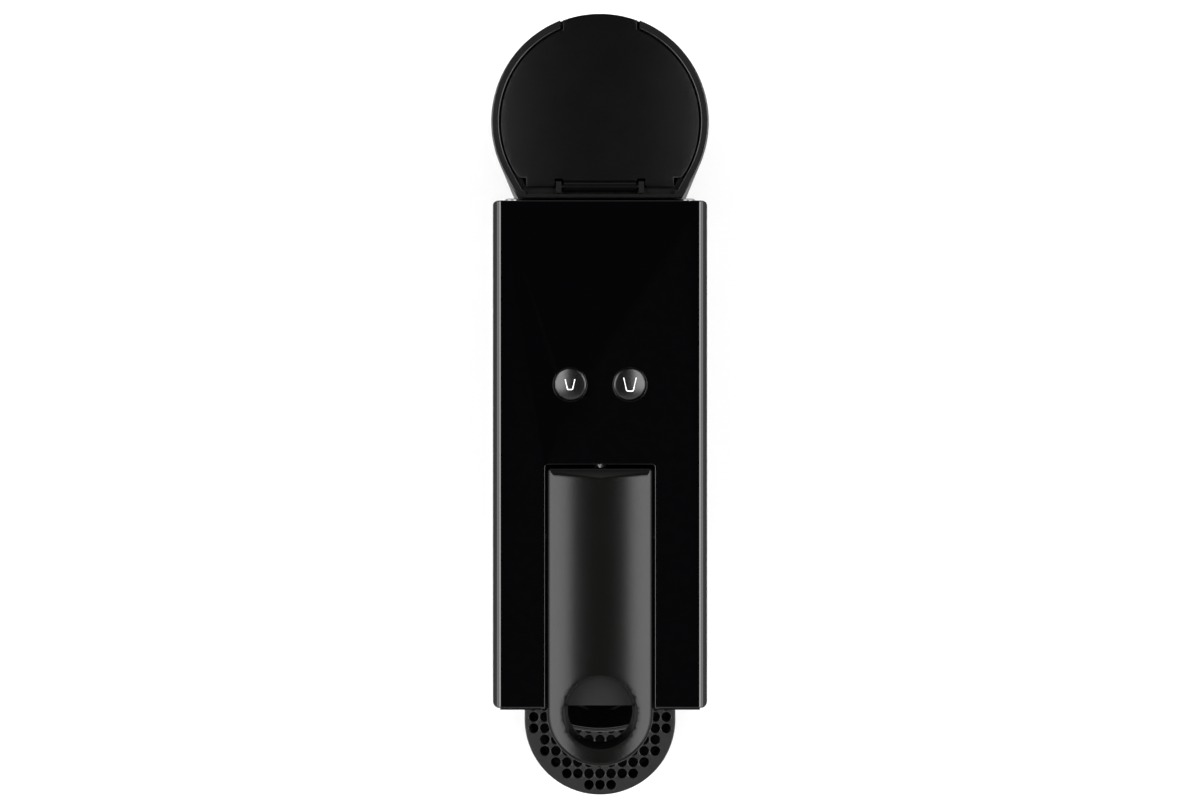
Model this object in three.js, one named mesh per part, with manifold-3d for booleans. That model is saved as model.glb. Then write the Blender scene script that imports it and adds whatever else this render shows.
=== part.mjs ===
// A narrow pod coffee machine: a glossy sleeve body with a lever along its top, a brew unit
// driven by the lever, a round water tank behind and a drip drawer in front.
// Millimetres, +Z up, the front of the machine towards -Y, origin on the floor under its middle.
import * as THREE from "three";
import { mergeVertices } from "three/addons/utils/BufferGeometryUtils.js";
import Module from "manifold-3d";

const wasm = await Module();
wasm.setup();

// ---------------------------------------------------------------- driving dimensions
const GAP = 0.3; // between pieces that touch
const FLOOR_GAP = 3.3; // from the floor to the sleeve and the base plate, the height of a foot

const BODY = { half: 41, front: -106.5, rear: 88.7, top: 200, wall: 2.5, fillet: 3.5 };
const PLAN = { corner: 2.2, bow: 0.9 };
const HEAD = { under: 118, recess: -80, cove: 12 };
const CHANNEL = { half: 21, rear: -12.5, wall: 1.4, deckTop: 184, deckRear: -84, foot: 176 };

const LEVER = { half: 20.3, rear: -13.9, ringY: -107.3, holeTop: 13.8, holeFoot: 12.3 };
const LEVER_SKIN = { foot: 188, side: 199.6, crown: 201.6, wall: 2, edge: 1.2 };
const PIVOT = { y: -40, z: 194.8, radius: 1.5 };

const TOOTH_MODULE = 1.6;
const LEVER_TEETH = 22; // on a full circle; only a sector of them is cut
const IDLER_TEETH = 10;
const TRAIN = { inner: 23.1, outer: 25.9 }; // |x| of the gears and racks
const LEVER_PITCH = (TOOTH_MODULE * LEVER_TEETH) / 2;
const IDLER_PITCH = (TOOTH_MODULE * IDLER_TEETH) / 2;
const IDLER_Z = PIVOT.z - LEVER_PITCH - IDLER_PITCH;
const RACK_Z = IDLER_Z - IDLER_PITCH;
const LEVER_SWEEP = Math.PI / 2;
const CAGE_TRAVEL = LEVER_PITCH * LEVER_SWEEP;

const CAGE = { z: 147, radius: 18.6, bore: 15.2, front: -83.9, rear: -50, stud: 2.5, studY: -70 };
const FRAME = { inner: 26.6, outer: 28.6, front: -96, rear: -6, foot: 121, top: 197.2 };
const PLATE = { front: -92.7, rear: -84.2, radius: 17.5 };

const NOSE = { half: 20, rear: -106.8, front: -120.4, foot: 112, top: 151, bow: 46, wall: 2.2 };
const OUTLET = { y: -113, radius: 4, bore: 2.8 };

const BUTTON = { x: 11.44, y: 17.95, radius: 6.1, hole: 6.4, top: 200.2 };

const TANK = { y: 119.5, radius: 42, tangent: -28.7, neck: 90, foot: 14, top: 188, wall: 2.2 };
const LID = { inset: 3.5, foot: 184, top: 187.6, tab: 14.4, shoulder: 28.6, hingeY: 94.6, hingeZ: 185.9 };
const VALVE = { recess: 11, ceiling: 18, floor: 20.5, hole: 3.2 };

const TRAY = { y: -128.3, radius: 33.2, top: 27.3, wall: 2, foot: 2, back: -81.2 };
const GRID = { foot: 27.6, top: 30.4, hole: 2.1, pitchX: 4.85, pitchY: 5, first: -157.15, reach: 29.9 };
const BIN = { half: 31, front: -80, rear: -18, foot: 30.9, top: 105.7, face: 38.2, wall: 1.8 };

const HEATER = { half: 20, front: -6, rear: 34, foot: 122, top: 172 };
const PUMP = { y: 60, radius: 15, foot: 72, top: 140 };
const METER = { y: 66, radius: 13, foot: 30, top: 46, chamber: 10.5 };

// ---------------------------------------------------------------- finishes
const finish = (color, roughness, metalness = 0) => ({ color, roughness, metalness });
const GLOSS_BLACK = finish(0x050506, 0.12);
const SATIN_BLACK = finish(0x1a1a1b, 0.45);
const CHARCOAL = finish(0x2b2a29, 0.38);
const TRAY_GREY = finish(0x303032, 0.5);
const INNER_BLACK = finish(0x101011, 0.6);
const SMOKE = finish(0x161618, 0.2);
const STEEL = finish(0xb4b6b8, 0.3, 1);
const ALUMINIUM = finish(0xa8abae, 0.45, 1);
const RUBBER = finish(0x0d0d0e, 0.85);
const SILICONE = finish(0xd9d9d4, 0.55);
const WHITE_PLASTIC = finish(0xdedcd5, 0.5);
const BOARD_GREEN = finish(0x1f5a38, 0.55);

// ---------------------------------------------------------------- solids
function solid(geometry) {
  geometry.deleteAttribute("normal");
  geometry.deleteAttribute("uv");
  const merged = mergeVertices(geometry, 1e-4);
  const vertProperties = merged.attributes.position.array;
  const triVerts = new Uint32Array(merged.index.array);
  return new wasm.Manifold(new wasm.Mesh({ numProp: 3, vertProperties, triVerts }));
}

function geometryOf(manifold) {
  const mesh = manifold.getMesh();
  const geometry = new THREE.BufferGeometry();
  geometry.setAttribute("position", new THREE.BufferAttribute(mesh.vertProperties, 3));
  geometry.setIndex(new THREE.BufferAttribute(mesh.triVerts, 1));
  const flat = geometry.toNonIndexed();
  flat.computeVertexNormals();
  return flat;
}

function join(pieces) {
  return pieces.reduce((whole, piece) => whole.add(piece));
}

function cut(whole, tools) {
  return tools.reduce((rest, tool) => rest.subtract(tool), whole);
}

function box(x0, x1, y0, y1, z0, z1) {
  const geometry = new THREE.BoxGeometry(x1 - x0, y1 - y0, z1 - z0);
  geometry.translate((x0 + x1) / 2, (y0 + y1) / 2, (z0 + z1) / 2);
  return solid(geometry);
}

// Two distances from the middle plane as low and high x on one side of it.
function onSide(side, inner, outer) {
  return side > 0 ? [inner, outer] : [-outer, -inner];
}

// An outline drawn in x and y, standing from z0 to z1.
function upright(shape, z0, z1, curveSegments = 12) {
  const options = { depth: z1 - z0, bevelEnabled: false, curveSegments };
  const geometry = new THREE.ExtrudeGeometry(shape, options);
  geometry.translate(0, 0, z0);
  return solid(geometry);
}

// An outline drawn in y and z, running across the machine from x0 to x1.
function across(shape, x0, x1, curveSegments = 12) {
  const options = { depth: x1 - x0, bevelEnabled: false, curveSegments };
  const geometry = new THREE.ExtrudeGeometry(shape, options);
  const turn = new THREE.Matrix4().makeBasis(
    new THREE.Vector3(0, 1, 0),
    new THREE.Vector3(0, 0, 1),
    new THREE.Vector3(1, 0, 0),
  );
  geometry.applyMatrix4(turn);
  geometry.translate(x0, 0, 0);
  return solid(geometry);
}

// An outline drawn in x and z, running along the machine from y0 to y1.
function along(shape, y0, y1, curveSegments = 12) {
  const options = { depth: y1 - y0, bevelEnabled: false, curveSegments };
  const geometry = new THREE.ExtrudeGeometry(shape, options);
  geometry.rotateX(Math.PI / 2);
  geometry.translate(0, y1, 0);
  return solid(geometry);
}

function rodX(x0, x1, y, z, radius, sides = 24) {
  const geometry = new THREE.CylinderGeometry(radius, radius, x1 - x0, sides);
  geometry.rotateZ(Math.PI / 2);
  geometry.translate((x0 + x1) / 2, y, z);
  return solid(geometry);
}

function rodY(x, y0, y1, z, radius, sides = 24) {
  const geometry = new THREE.CylinderGeometry(radius, radius, y1 - y0, sides);
  geometry.translate(x, (y0 + y1) / 2, z);
  return solid(geometry);
}

function rodZ(x, y, z0, z1, footRadius, topRadius = footRadius, sides = 24) {
  const geometry = new THREE.CylinderGeometry(topRadius, footRadius, z1 - z0, sides);
  geometry.rotateX(Math.PI / 2);
  geometry.translate(x, y, (z0 + z1) / 2);
  return solid(geometry);
}

// A profile of [radius, height] pairs turned about a vertical axis at x, y.
function turnedZ(x, y, profile, sides = 24) {
  const points = profile.map(([radius, height]) => new THREE.Vector2(radius, height));
  const geometry = new THREE.LatheGeometry(points, sides);
  geometry.rotateX(Math.PI / 2);
  geometry.translate(x, y, 0);
  return solid(geometry);
}

// A tube between two radii and two heights.
function ring(x, y, inner, outer, z0, z1, sides = 24) {
  return rodZ(x, y, z0, z1, outer, outer, sides).subtract(
    rodZ(x, y, z0 - 1, z1 + 1, inner, inner, sides),
  );
}

function circleShape(radius) {
  return new THREE.Shape().absarc(0, 0, radius, 0, Math.PI * 2, false);
}

function hose(points, outer, bore, steps) {
  const section = circleShape(outer);
  section.holes.push(new THREE.Path().absarc(0, 0, bore, 0, Math.PI * 2, true));
  const route = new THREE.CatmullRomCurve3(points.map((p) => new THREE.Vector3(...p)));
  const options = { steps, curveSegments: 4, bevelEnabled: false, extrudePath: route };
  return solid(new THREE.ExtrudeGeometry(section, options));
}

function polygon(points) {
  return new THREE.Shape(points.map(([u, v]) => new THREE.Vector2(u, v)));
}

// ---------------------------------------------------------------- the assembly
const machine = new THREE.Group();

function piece(name, manifold, surface) {
  const mesh = new THREE.Mesh(geometryOf(manifold), new THREE.MeshStandardMaterial(surface));
  mesh.name = name;
  machine.add(mesh);
}

const SIDES = [
  ["left", -1],
  ["right", 1],
];

// ---------------------------------------------------------------- body
// The side view of the body in y and z, pulled in by inset: a tall column with a head
// that reaches forward over the cup, and a cove where the head meets the column.
function bodyProfile(inset) {
  const shape = new THREE.Shape();
  shape.moveTo(BODY.rear - inset, FLOOR_GAP);
  shape.lineTo(BODY.rear - inset, BODY.top - inset);
  shape.lineTo(BODY.front + inset, BODY.top - inset);
  shape.lineTo(BODY.front + inset, HEAD.under + inset);
  const coveY = HEAD.recess - HEAD.cove;
  const coveZ = HEAD.under - HEAD.cove;
  shape.absarc(coveY, coveZ, HEAD.cove + inset, Math.PI / 2, 0, true);
  shape.lineTo(HEAD.recess + inset, FLOOR_GAP);
  return shape;
}

// The body's cross-section: an inverted U with rounded shoulders.
function sleeveSection() {
  const { half, top, wall, fillet } = BODY;
  const shape = new THREE.Shape();
  shape.moveTo(half, FLOOR_GAP);
  shape.absarc(half - fillet, top - fillet, fillet, 0, Math.PI / 2, false);
  shape.absarc(-half + fillet, top - fillet, fillet, Math.PI / 2, Math.PI, false);
  shape.lineTo(-half, FLOOR_GAP);
  shape.lineTo(-half + wall, FLOOR_GAP);
  shape.lineTo(-half + wall, top - wall);
  shape.lineTo(half - wall, top - wall);
  shape.lineTo(half - wall, FLOOR_GAP);
  return shape;
}

// The body seen from above: slightly bowed ends and small corners.
function sleevePlan() {
  const { half, front, rear } = BODY;
  const { corner, bow } = PLAN;
  const shape = new THREE.Shape();
  shape.moveTo(-half, front + bow + corner);
  shape.quadraticCurveTo(-half, front + bow, -half + corner, front + bow);
  shape.quadraticCurveTo(0, front - bow, half - corner, front + bow);
  shape.quadraticCurveTo(half, front + bow, half, front + bow + corner);
  shape.lineTo(half, rear - corner);
  shape.quadraticCurveTo(half, rear, half - corner, rear);
  shape.lineTo(-half + corner, rear);
  shape.quadraticCurveTo(-half, rear, -half, rear - corner);
  return shape;
}

function outerShell() {
  const sleeve = along(sleeveSection(), BODY.front - 1, BODY.rear + 1, 6);
  const side = across(bodyProfile(0), -BODY.half - 1, BODY.half + 1);
  const plan = upright(sleevePlan(), 0, BODY.top + 1, 8);
  const channelShape = new THREE.Shape();
  const corner = 1;
  channelShape.moveTo(-CHANNEL.half, BODY.front - 2);
  channelShape.lineTo(CHANNEL.half, BODY.front - 2);
  channelShape.absarc(CHANNEL.half - corner, CHANNEL.rear - corner, corner, 0, Math.PI / 2, false);
  channelShape.absarc(-CHANNEL.half + corner, CHANNEL.rear - corner, corner, Math.PI / 2, Math.PI, false);
  const tools = [upright(channelShape, BODY.top - 10, BODY.top + 1, 3)];
  for (const [, way] of SIDES) {
    const x = way * BUTTON.x;
    tools.push(rodZ(x, BUTTON.y, BODY.top - 10, BODY.top + 1, BUTTON.hole, BUTTON.hole, 24));
  }
  piece("outer_shell", cut(sleeve.intersect(side).intersect(plan), tools), GLOSS_BLACK);
}

function frontPanel() {
  const half = BODY.half - BODY.wall - GAP;
  const core = across(bodyProfile(2.5), -half - 1, half + 1);
  const skin = across(bodyProfile(0.1), -half, half).subtract(core);
  const top = BODY.top - BODY.wall - GAP;
  const reach = box(-half, half, BODY.front - 1, HEAD.recess + 2.4, BIN.top + GAP, top);
  const plan = upright(sleevePlan(), 0, BODY.top + 1, 8);
  const notch = box(
    -CHANNEL.half - CHANNEL.wall - GAP,
    CHANNEL.half + CHANNEL.wall + GAP,
    BODY.front - 2,
    BODY.front + 5,
    CHANNEL.deckTop - 2 - GAP,
    BODY.top,
  );
  const pipeHole = box(-6, 6, BODY.front - 2, BODY.front + 5, 126, 147);
  piece("front_panel", cut(skin.intersect(reach).intersect(plan), [notch, pipeHole]), INNER_BLACK);
}

const PANEL_SCREWS = [
  [34, 24],
  [34, 186],
];
const BASE_SCREWS = [
  [34.5, -52],
  [34.5, 70],
];

function rearPanel() {
  const half = BODY.half - BODY.wall - GAP;
  const panel = box(-half, half, BODY.rear - 2.8, BODY.rear - 0.3, TANK.foot, BODY.top - BODY.wall - GAP);
  const tools = [];
  for (let row = 0; row < 5; row += 1) {
    const z = 150 + row * 6;
    tools.push(box(-22, 22, BODY.rear - 4, BODY.rear + 1, z, z + 2.4));
  }
  for (const [, side] of SIDES) {
    for (const [x, z] of PANEL_SCREWS) {
      tools.push(rodY(side * x, BODY.rear - 4, BODY.rear + 1, z, 1.8, 8));
    }
  }
  piece("rear_panel", cut(panel, tools), INNER_BLACK);
}

function leverChannel() {
  const { half, wall, rear, deckTop, deckRear, foot } = CHANNEL;
  const outside = half + wall;
  const top = BODY.top - BODY.wall - GAP;
  const front = BODY.front + 0.4;
  const behindPanel = BODY.front + BODY.wall + 0.4;
  const walls = box(-outside, outside, front, rear + wall, foot, top).subtract(
    box(-half, half, front - 1, rear, foot - 1, top + 1),
  );
  const panelRoom = box(-outside - 1, outside + 1, front - 1, behindPanel, foot - 1, deckTop - 2);
  const deck = box(-outside, outside, front, deckRear, deckTop - 2, deckTop);
  const chamberWall = box(-half - 0.5, half + 0.5, deckRear - 2, deckRear, 167, deckTop - 1);
  const axleHole = rodX(-outside - 1, outside + 1, PIVOT.y, PIVOT.z, PIVOT.radius + 0.3, 16);
  const liner = join([walls.subtract(panelRoom), deck, chamberWall]);
  piece("lever_channel", liner.subtract(axleHole), INNER_BLACK);
}

function screws() {
  let number = 0;
  for (const [, side] of SIDES) {
    for (const [x, z] of PANEL_SCREWS) {
      number += 1;
      const head = rodY(side * x, BODY.rear, BODY.rear + 1.1, z, 2.8, 10);
      const shank = rodY(side * x, BODY.rear - 9, BODY.rear + 0.5, z, 1.4, 6);
      piece(`panel_screw_${number}`, head.add(shank), STEEL);
    }
  }
  number = 0;
  for (const [, side] of SIDES) {
    for (const [x, y] of BASE_SCREWS) {
      number += 1;
      const head = rodZ(side * x, y, FLOOR_GAP - 1.6, FLOOR_GAP - GAP, 3, 3, 10);
      const shank = rodZ(side * x, y, FLOOR_GAP - 1, FLOOR_GAP + 9, 1.4, 1.4, 6);
      piece(`base_screw_${number}`, head.add(shank), STEEL);
    }
  }
}

// ---------------------------------------------------------------- base
const FEET = [
  ["front", 28, -66],
  ["rear", 22, 136],
];
const GLAND = { x: -32, z: 9.2, radius: 4.4, bore: 3.2 };

function basePlate() {
  const half = BODY.half - BODY.wall - GAP;
  const floor = box(-half, half, HEAD.recess + 2, BODY.rear - 0.3, FLOOR_GAP, FLOOR_GAP + 3);
  const backWall = box(-half, half, BODY.rear - 2.8, BODY.rear - 0.3, FLOOR_GAP, TANK.foot - GAP);
  const footTop = TANK.foot - 0.4;
  const seat = rodZ(0, TANK.y, FLOOR_GAP, footTop, TANK.radius - 4, TANK.radius - 4, 36);
  const neck = box(-26, 26, BODY.rear - 2, TANK.y, FLOOR_GAP, footTop);
  const tools = [
    box(-3.4, 3.4, TANK.y - TANK.radius, TANK.y, 5.6, 12.4),
    rodZ(0, TANK.y, 5, footTop + 1, 8.9),
    rodY(GLAND.x, BODY.rear - 4, BODY.rear + 1, GLAND.z, GLAND.radius - 0.4, 12),
  ];
  for (const [, side] of SIDES) {
    for (const [x, y] of BASE_SCREWS) {
      tools.push(rodZ(side * x, y, 0, FLOOR_GAP + 4, 1.8, 1.8, 8));
    }
  }
  piece("base_plate", cut(join([floor, backWall, seat, neck]), tools), SATIN_BLACK);
}

function feet() {
  for (const [end, x, y] of FEET) {
    for (const [name, side] of SIDES) {
      piece(`foot_${end}_${name}`, rodZ(side * x, y, 0, FLOOR_GAP - GAP, 6.4, 7, 16), RUBBER);
    }
  }
}

function cableGland() {
  const outside = rodY(GLAND.x, BODY.rear, BODY.rear + 2.6, GLAND.z, GLAND.radius, 16);
  const shank = rodY(GLAND.x, BODY.rear - 2.9, BODY.rear + 1, GLAND.z, GLAND.radius - 0.7, 12);
  const way = rodY(GLAND.x, BODY.rear - 7, BODY.rear + 6, GLAND.z, GLAND.bore, 12);
  piece("cable_gland", outside.add(shank).subtract(way), RUBBER);
}

// ---------------------------------------------------------------- lever and its gear train
// The lever seen from above: straight sides, small rear corners, a half-round front end.
function leverPlan(inset) {
  const half = LEVER.half - inset;
  const corner = Math.max(1.4 - inset, 0.4);
  const rear = LEVER.rear - inset;
  const shape = new THREE.Shape();
  shape.absarc(0, LEVER.ringY, half, Math.PI, 0, false);
  shape.absarc(half - corner, rear - corner, corner, 0, Math.PI / 2, false);
  shape.absarc(-half + corner, rear - corner, corner, Math.PI / 2, Math.PI, false);
  return shape;
}

// The lever's cross-section: a shallow crown between rounded edges.
function leverSection() {
  const { foot, side, crown, edge } = LEVER_SKIN;
  const rise = crown - side;
  const radius = (LEVER.half * LEVER.half + rise * rise) / (2 * rise);
  const swing = Math.asin((LEVER.half - edge) / radius);
  const shape = new THREE.Shape();
  shape.moveTo(-LEVER.half, foot);
  shape.lineTo(LEVER.half, foot);
  shape.lineTo(LEVER.half, side - edge);
  shape.absarc(0, crown - radius, radius, Math.PI / 2 - swing, Math.PI / 2 + swing, false);
  shape.lineTo(-LEVER.half, side - edge);
  return shape;
}

function lever() {
  const { foot, crown, wall } = LEVER_SKIN;
  const front = LEVER.ringY - LEVER.half - 1;
  const blank = upright(leverPlan(0), foot, crown + 1, 12);
  const crowned = blank.intersect(along(leverSection(), front, LEVER.rear + 1, 5));
  const hollowFront = LEVER.ringY + LEVER.holeTop + 3;
  const hollow = upright(leverPlan(wall), foot - 1, LEVER_SKIN.side - wall, 6).intersect(
    box(-LEVER.half, LEVER.half, hollowFront, 0, 0, BODY.top + 10),
  );
  const hole = rodZ(0, LEVER.ringY, foot - 0.5, crown + 0.5, LEVER.holeFoot, LEVER.holeTop, 28);
  const bosses = SIDES.map(([, side]) => {
    const [near, far] = onSide(side, 15, LEVER.half - 1);
    return box(near, far, PIVOT.y - 4, PIVOT.y + 4, foot + 2, LEVER_SKIN.side - 1);
  });
  const axleHole = rodX(-LEVER.half - 1, LEVER.half + 1, PIVOT.y, PIVOT.z, PIVOT.radius + GAP, 16);
  piece("lever", cut(crowned.subtract(hollow).add(join(bosses)), [hole, axleHole]), CHARCOAL);
  piece("lever_axle", rodX(-29.4, 29.4, PIVOT.y, PIVOT.z, PIVOT.radius, 16), STEEL);
}

const ADDENDUM = TOOTH_MODULE * 0.8;
const DEDENDUM = TOOTH_MODULE * 1.15;
const TOOTH_FOOT = 0.3; // half widths of a tooth as parts of the pitch
const TOOTH_PITCH = 0.2;
const TOOTH_TIP = 0.1;

// The corners of one gear tooth in y and z, about a centre, pointing along the angle.
function toothCorners(y, z, pitchRadius, angle) {
  const pitchAngle = (Math.PI * TOOTH_MODULE) / pitchRadius;
  const spots = [
    [-TOOTH_FOOT, -DEDENDUM],
    [-TOOTH_PITCH, 0],
    [-TOOTH_TIP, ADDENDUM],
    [TOOTH_TIP, ADDENDUM],
    [TOOTH_PITCH, 0],
    [TOOTH_FOOT, -DEDENDUM],
  ];
  return spots.map(([part, height]) => {
    const at = angle + part * pitchAngle;
    const radius = pitchRadius + height;
    return [y + radius * Math.cos(at), z + radius * Math.sin(at)];
  });
}

const DOWN = -Math.PI / 2;
const FIRST_SECTOR_TOOTH = DOWN - (4 * Math.PI) / 180;
const SECTOR_TEETH = 7;

// A sector on the lever's axle: it hangs down and points back at rest.
function leverGears() {
  const step = (Math.PI * 2) / LEVER_TEETH;
  const points = [[PIVOT.y - 2.3, PIVOT.z]];
  for (let tooth = 0; tooth < SECTOR_TEETH; tooth += 1) {
    const angle = FIRST_SECTOR_TOOTH + tooth * step;
    points.push(...toothCorners(PIVOT.y, PIVOT.z, LEVER_PITCH, angle));
  }
  points.push([PIVOT.y, PIVOT.z + 2.3]);
  for (const [name, side] of SIDES) {
    const [near, far] = onSide(side, TRAIN.inner, TRAIN.outer);
    const hub = rodX(near, far, PIVOT.y, PIVOT.z, 2.35, 16);
    const bore = rodX(near - 1, far + 1, PIVOT.y, PIVOT.z, PIVOT.radius + 0.25, 16);
    piece(`lever_gear_${name}`, across(polygon(points), near, far).add(hub).subtract(bore), STEEL);
  }
}

// The idler under the sector, set so that its spaces face the sector's teeth.
function idlers() {
  const step = (Math.PI * 2) / IDLER_TEETH;
  const sectorPhase = (DOWN - FIRST_SECTOR_TOOTH) * (LEVER_TEETH / IDLER_TEETH);
  const start = -DOWN + sectorPhase + step / 2;
  const points = [];
  for (let tooth = 0; tooth < IDLER_TEETH; tooth += 1) {
    points.push(...toothCorners(PIVOT.y, IDLER_Z, IDLER_PITCH, start + tooth * step));
  }
  for (const [name, side] of SIDES) {
    const [near, far] = onSide(side, TRAIN.inner, TRAIN.outer);
    const bore = rodX(near - 1, far + 1, PIVOT.y, IDLER_Z, PIVOT.radius + 0.3, 16);
    piece(`idler_gear_${name}`, across(polygon(points), near, far).subtract(bore), WHITE_PLASTIC);
    const [pinNear, pinFar] = onSide(side, 22.7, 29.4);
    piece(`idler_pin_${name}`, rodX(pinNear, pinFar, PIVOT.y, IDLER_Z, PIVOT.radius, 16), STEEL);
  }
}

// Rack teeth on top of the cage's side arms, placed to mesh with the idler at rest.
function rackOutline() {
  const pitch = Math.PI * TOOTH_MODULE;
  const idlerStep = (Math.PI * 2) / IDLER_TEETH;
  const sectorPhase = (DOWN - FIRST_SECTOR_TOOTH) * (LEVER_TEETH / IDLER_TEETH);
  const idlerStart = -DOWN + sectorPhase + idlerStep / 2;
  const turns = (DOWN - idlerStart) / idlerStep;
  const offset = (Math.round(turns) - turns) * pitch;
  const foot = RACK_Z - DEDENDUM - 3.4;
  const count = 8;
  const last = PIVOT.y + offset + pitch * 0.5;
  const points = [
    [last - (count - 0.5) * pitch, foot],
    [last + pitch * 0.5, foot],
    [last + pitch * 0.5, RACK_Z - DEDENDUM],
  ];
  for (let tooth = 0; tooth < count; tooth += 1) {
    const y = last - tooth * pitch;
    points.push([y + TOOTH_FOOT * pitch, RACK_Z - DEDENDUM]);
    points.push([y + TOOTH_TIP * pitch, RACK_Z + ADDENDUM]);
    points.push([y - TOOTH_TIP * pitch, RACK_Z + ADDENDUM]);
    points.push([y - TOOTH_FOOT * pitch, RACK_Z - DEDENDUM]);
  }
  return polygon(points);
}

// ---------------------------------------------------------------- brew unit
function brewCage() {
  const { z, radius, bore, front, rear, stud, studY } = CAGE;
  const cup = rodY(0, front, rear, z, radius, 28).subtract(rodY(0, front - 1, rear - 4, z, bore, 24));
  const inlet = rodY(0, rear - 1, HEATER.front + 4, z, 2.4, 16);
  const blades = [0, 1, 2].map((spike) => {
    const angle = (spike * Math.PI * 2) / 3 + Math.PI / 2;
    const x = 7 * Math.cos(angle);
    const up = z + 7 * Math.sin(angle);
    return rodY(x, rear - 8, rear - 3, up, 1, 6);
  });
  const waterWay = rodY(0, rear - 6, HEATER.front + 6, z, 1.1, 10);
  const parts = [cup, inlet, ...blades];
  for (const [, side] of SIDES) {
    const [near, far] = onSide(side, TRAIN.inner, TRAIN.outer);
    parts.push(across(rackOutline(), near, far));
    const [armNear, armFar] = onSide(side, 13.5, TRAIN.outer - 0.2);
    parts.push(box(armNear, armFar, rear - 14, rear, RACK_Z - DEDENDUM - 3.2, RACK_Z - DEDENDUM - 0.4));
    const [studNear, studFar] = onSide(side, 16.5, 28.4);
    parts.push(rodX(studNear, studFar, studY, z, stud, 16));
  }
  piece("brew_cage", join(parts).subtract(waterWay), STEEL);
}

function brewFrame() {
  const { inner, outer, front, rear, foot, top } = FRAME;
  const parts = [
    box(-outer, outer, front, front + 3, foot, 166),
    box(-outer, outer, rear - 3, rear - 0.5, foot, 136),
  ];
  for (const [, side] of SIDES) {
    const [near, far] = onSide(side, inner, outer);
    parts.push(box(near, far, front, rear - 0.5, foot, top));
  }
  const slotHalf = CAGE.stud + 0.3;
  const slotRear = CAGE.studY + CAGE_TRAVEL;
  const { studY, z } = CAGE;
  const tools = [
    box(-outer - 1, outer + 1, studY - slotHalf, slotRear + slotHalf, z - slotHalf, z + slotHalf),
    rodX(-outer - 1, outer + 1, PIVOT.y, PIVOT.z, PIVOT.radius + GAP, 16),
    rodX(-outer - 1, outer + 1, PIVOT.y, IDLER_Z, PIVOT.radius + GAP, 16),
    rodY(0, front - 1, front + 4, 143, OUTLET.radius + 1, 20),
  ];
  piece("brew_frame", cut(join(parts), tools), INNER_BLACK);
}

function extraction() {
  const { front, rear, radius } = PLATE;
  const disc = rodY(0, front, rear, CAGE.z, radius, 24);
  const tools = [rodY(0, front - 1, front + 5, 143, 2.6, 12)];
  for (let hole = 0; hole < 6; hole += 1) {
    const angle = (hole * Math.PI) / 3;
    const x = 4.4 * Math.cos(angle);
    tools.push(rodY(x, front + 4, rear + 1, 145.5 + 4.4 * Math.sin(angle), 0.9, 6));
  }
  const gather = rodY(0, front + 3.6, front + 5.4, 145, 6.6, 16);
  piece("extraction_plate", cut(disc, [...tools, gather]), STEEL);
  const route = [
    [0, front - GAP, 143],
    [0, -99, 142.6],
    [0, -106, 139.5],
    [0, -111.4, 132.5],
    [0, OUTLET.y, 124],
    [0, OUTLET.y, 114],
  ];
  piece("outlet_tube", hose(route, OUTLET.radius, OUTLET.bore, 14), INNER_BLACK);
}

// The outlet's cover: a bowed front, a top that falls forward, open towards the head.
function outletNose() {
  const { half, rear, front, foot, top, bow, wall } = NOSE;
  const plan = (inset) => {
    const side = half - inset;
    const swing = Math.asin(side / (bow - inset));
    const shape = new THREE.Shape();
    shape.moveTo(side, rear + (inset > 0 ? 1 : 0));
    shape.lineTo(-side, rear + (inset > 0 ? 1 : 0));
    const centre = front + bow;
    shape.absarc(0, centre, bow - inset, DOWN - swing, DOWN + swing, false);
    return shape;
  };
  const profile = (inset) => {
    const lip = front - 1 + inset;
    const edge = 5;
    const shape = new THREE.Shape();
    shape.moveTo(rear + 2, foot - 1 + inset);
    shape.lineTo(rear + 2, top - inset);
    shape.lineTo(lip + edge, top - 2.4 - inset);
    shape.quadraticCurveTo(lip, top - 3.4 - inset, lip, top - 2.4 - inset - edge);
    shape.lineTo(lip, foot - 1 + inset);
    return shape;
  };
  const outside = upright(plan(0), foot, top + 1, 14).intersect(across(profile(0), -half, half, 6));
  const inside = upright(plan(wall), foot + wall, top, 8).intersect(across(profile(wall), -half, half, 4));
  const spout = rodZ(0, OUTLET.y, foot - 1, foot + 8, OUTLET.radius + 0.6, OUTLET.radius + 0.6, 20);
  piece("outlet_nose", outside.subtract(inside).subtract(spout), GLOSS_BLACK);
}

// ---------------------------------------------------------------- buttons and electronics
function buttons() {
  const { x, y, radius, top } = BUTTON;
  const names = { left: "small", right: "large" };
  for (const [name, side] of SIDES) {
    const cap = turnedZ(side * x, y, [
      [0, 191.9],
      [2.4, 191.9],
      [2.4, 194.4],
      [7.4, 194.4],
      [7.4, 196.9],
      [radius, 196.9],
      [radius, top - 0.9],
      [radius - 0.5, top - 0.35],
      [radius * 0.5, top - 0.08],
      [0, top],
    ], 18);
    piece(`button_${names[name]}_cup`, cap, GLOSS_BLACK);
    const housing = box(side * x - 3, side * x + 3, y - 3, y + 3, 186, 189.2);
    const plunger = rodZ(side * x, y, 189, 190.5, 1.6, 1.6, 8);
    piece(`button_switch_${names[name]}`, housing.add(plunger), SATIN_BLACK);
  }
  piece("button_board", box(-17.5, 17.5, 6, 30, 184.1, 185.7), BOARD_GREEN);
}

function controlBoard() {
  const board = box(33, 34.6, -2, 78, 60, 160);
  const parts = [
    box(24, 33.5, 6, 30, 70, 92),
    box(27, 33.5, 40, 60, 74, 98),
    box(29, 33.5, 10, 24, 106, 118),
    box(30, 33.5, 44, 70, 120, 136),
  ];
  piece("control_board", join([board, ...parts]), BOARD_GREEN);
}

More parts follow.
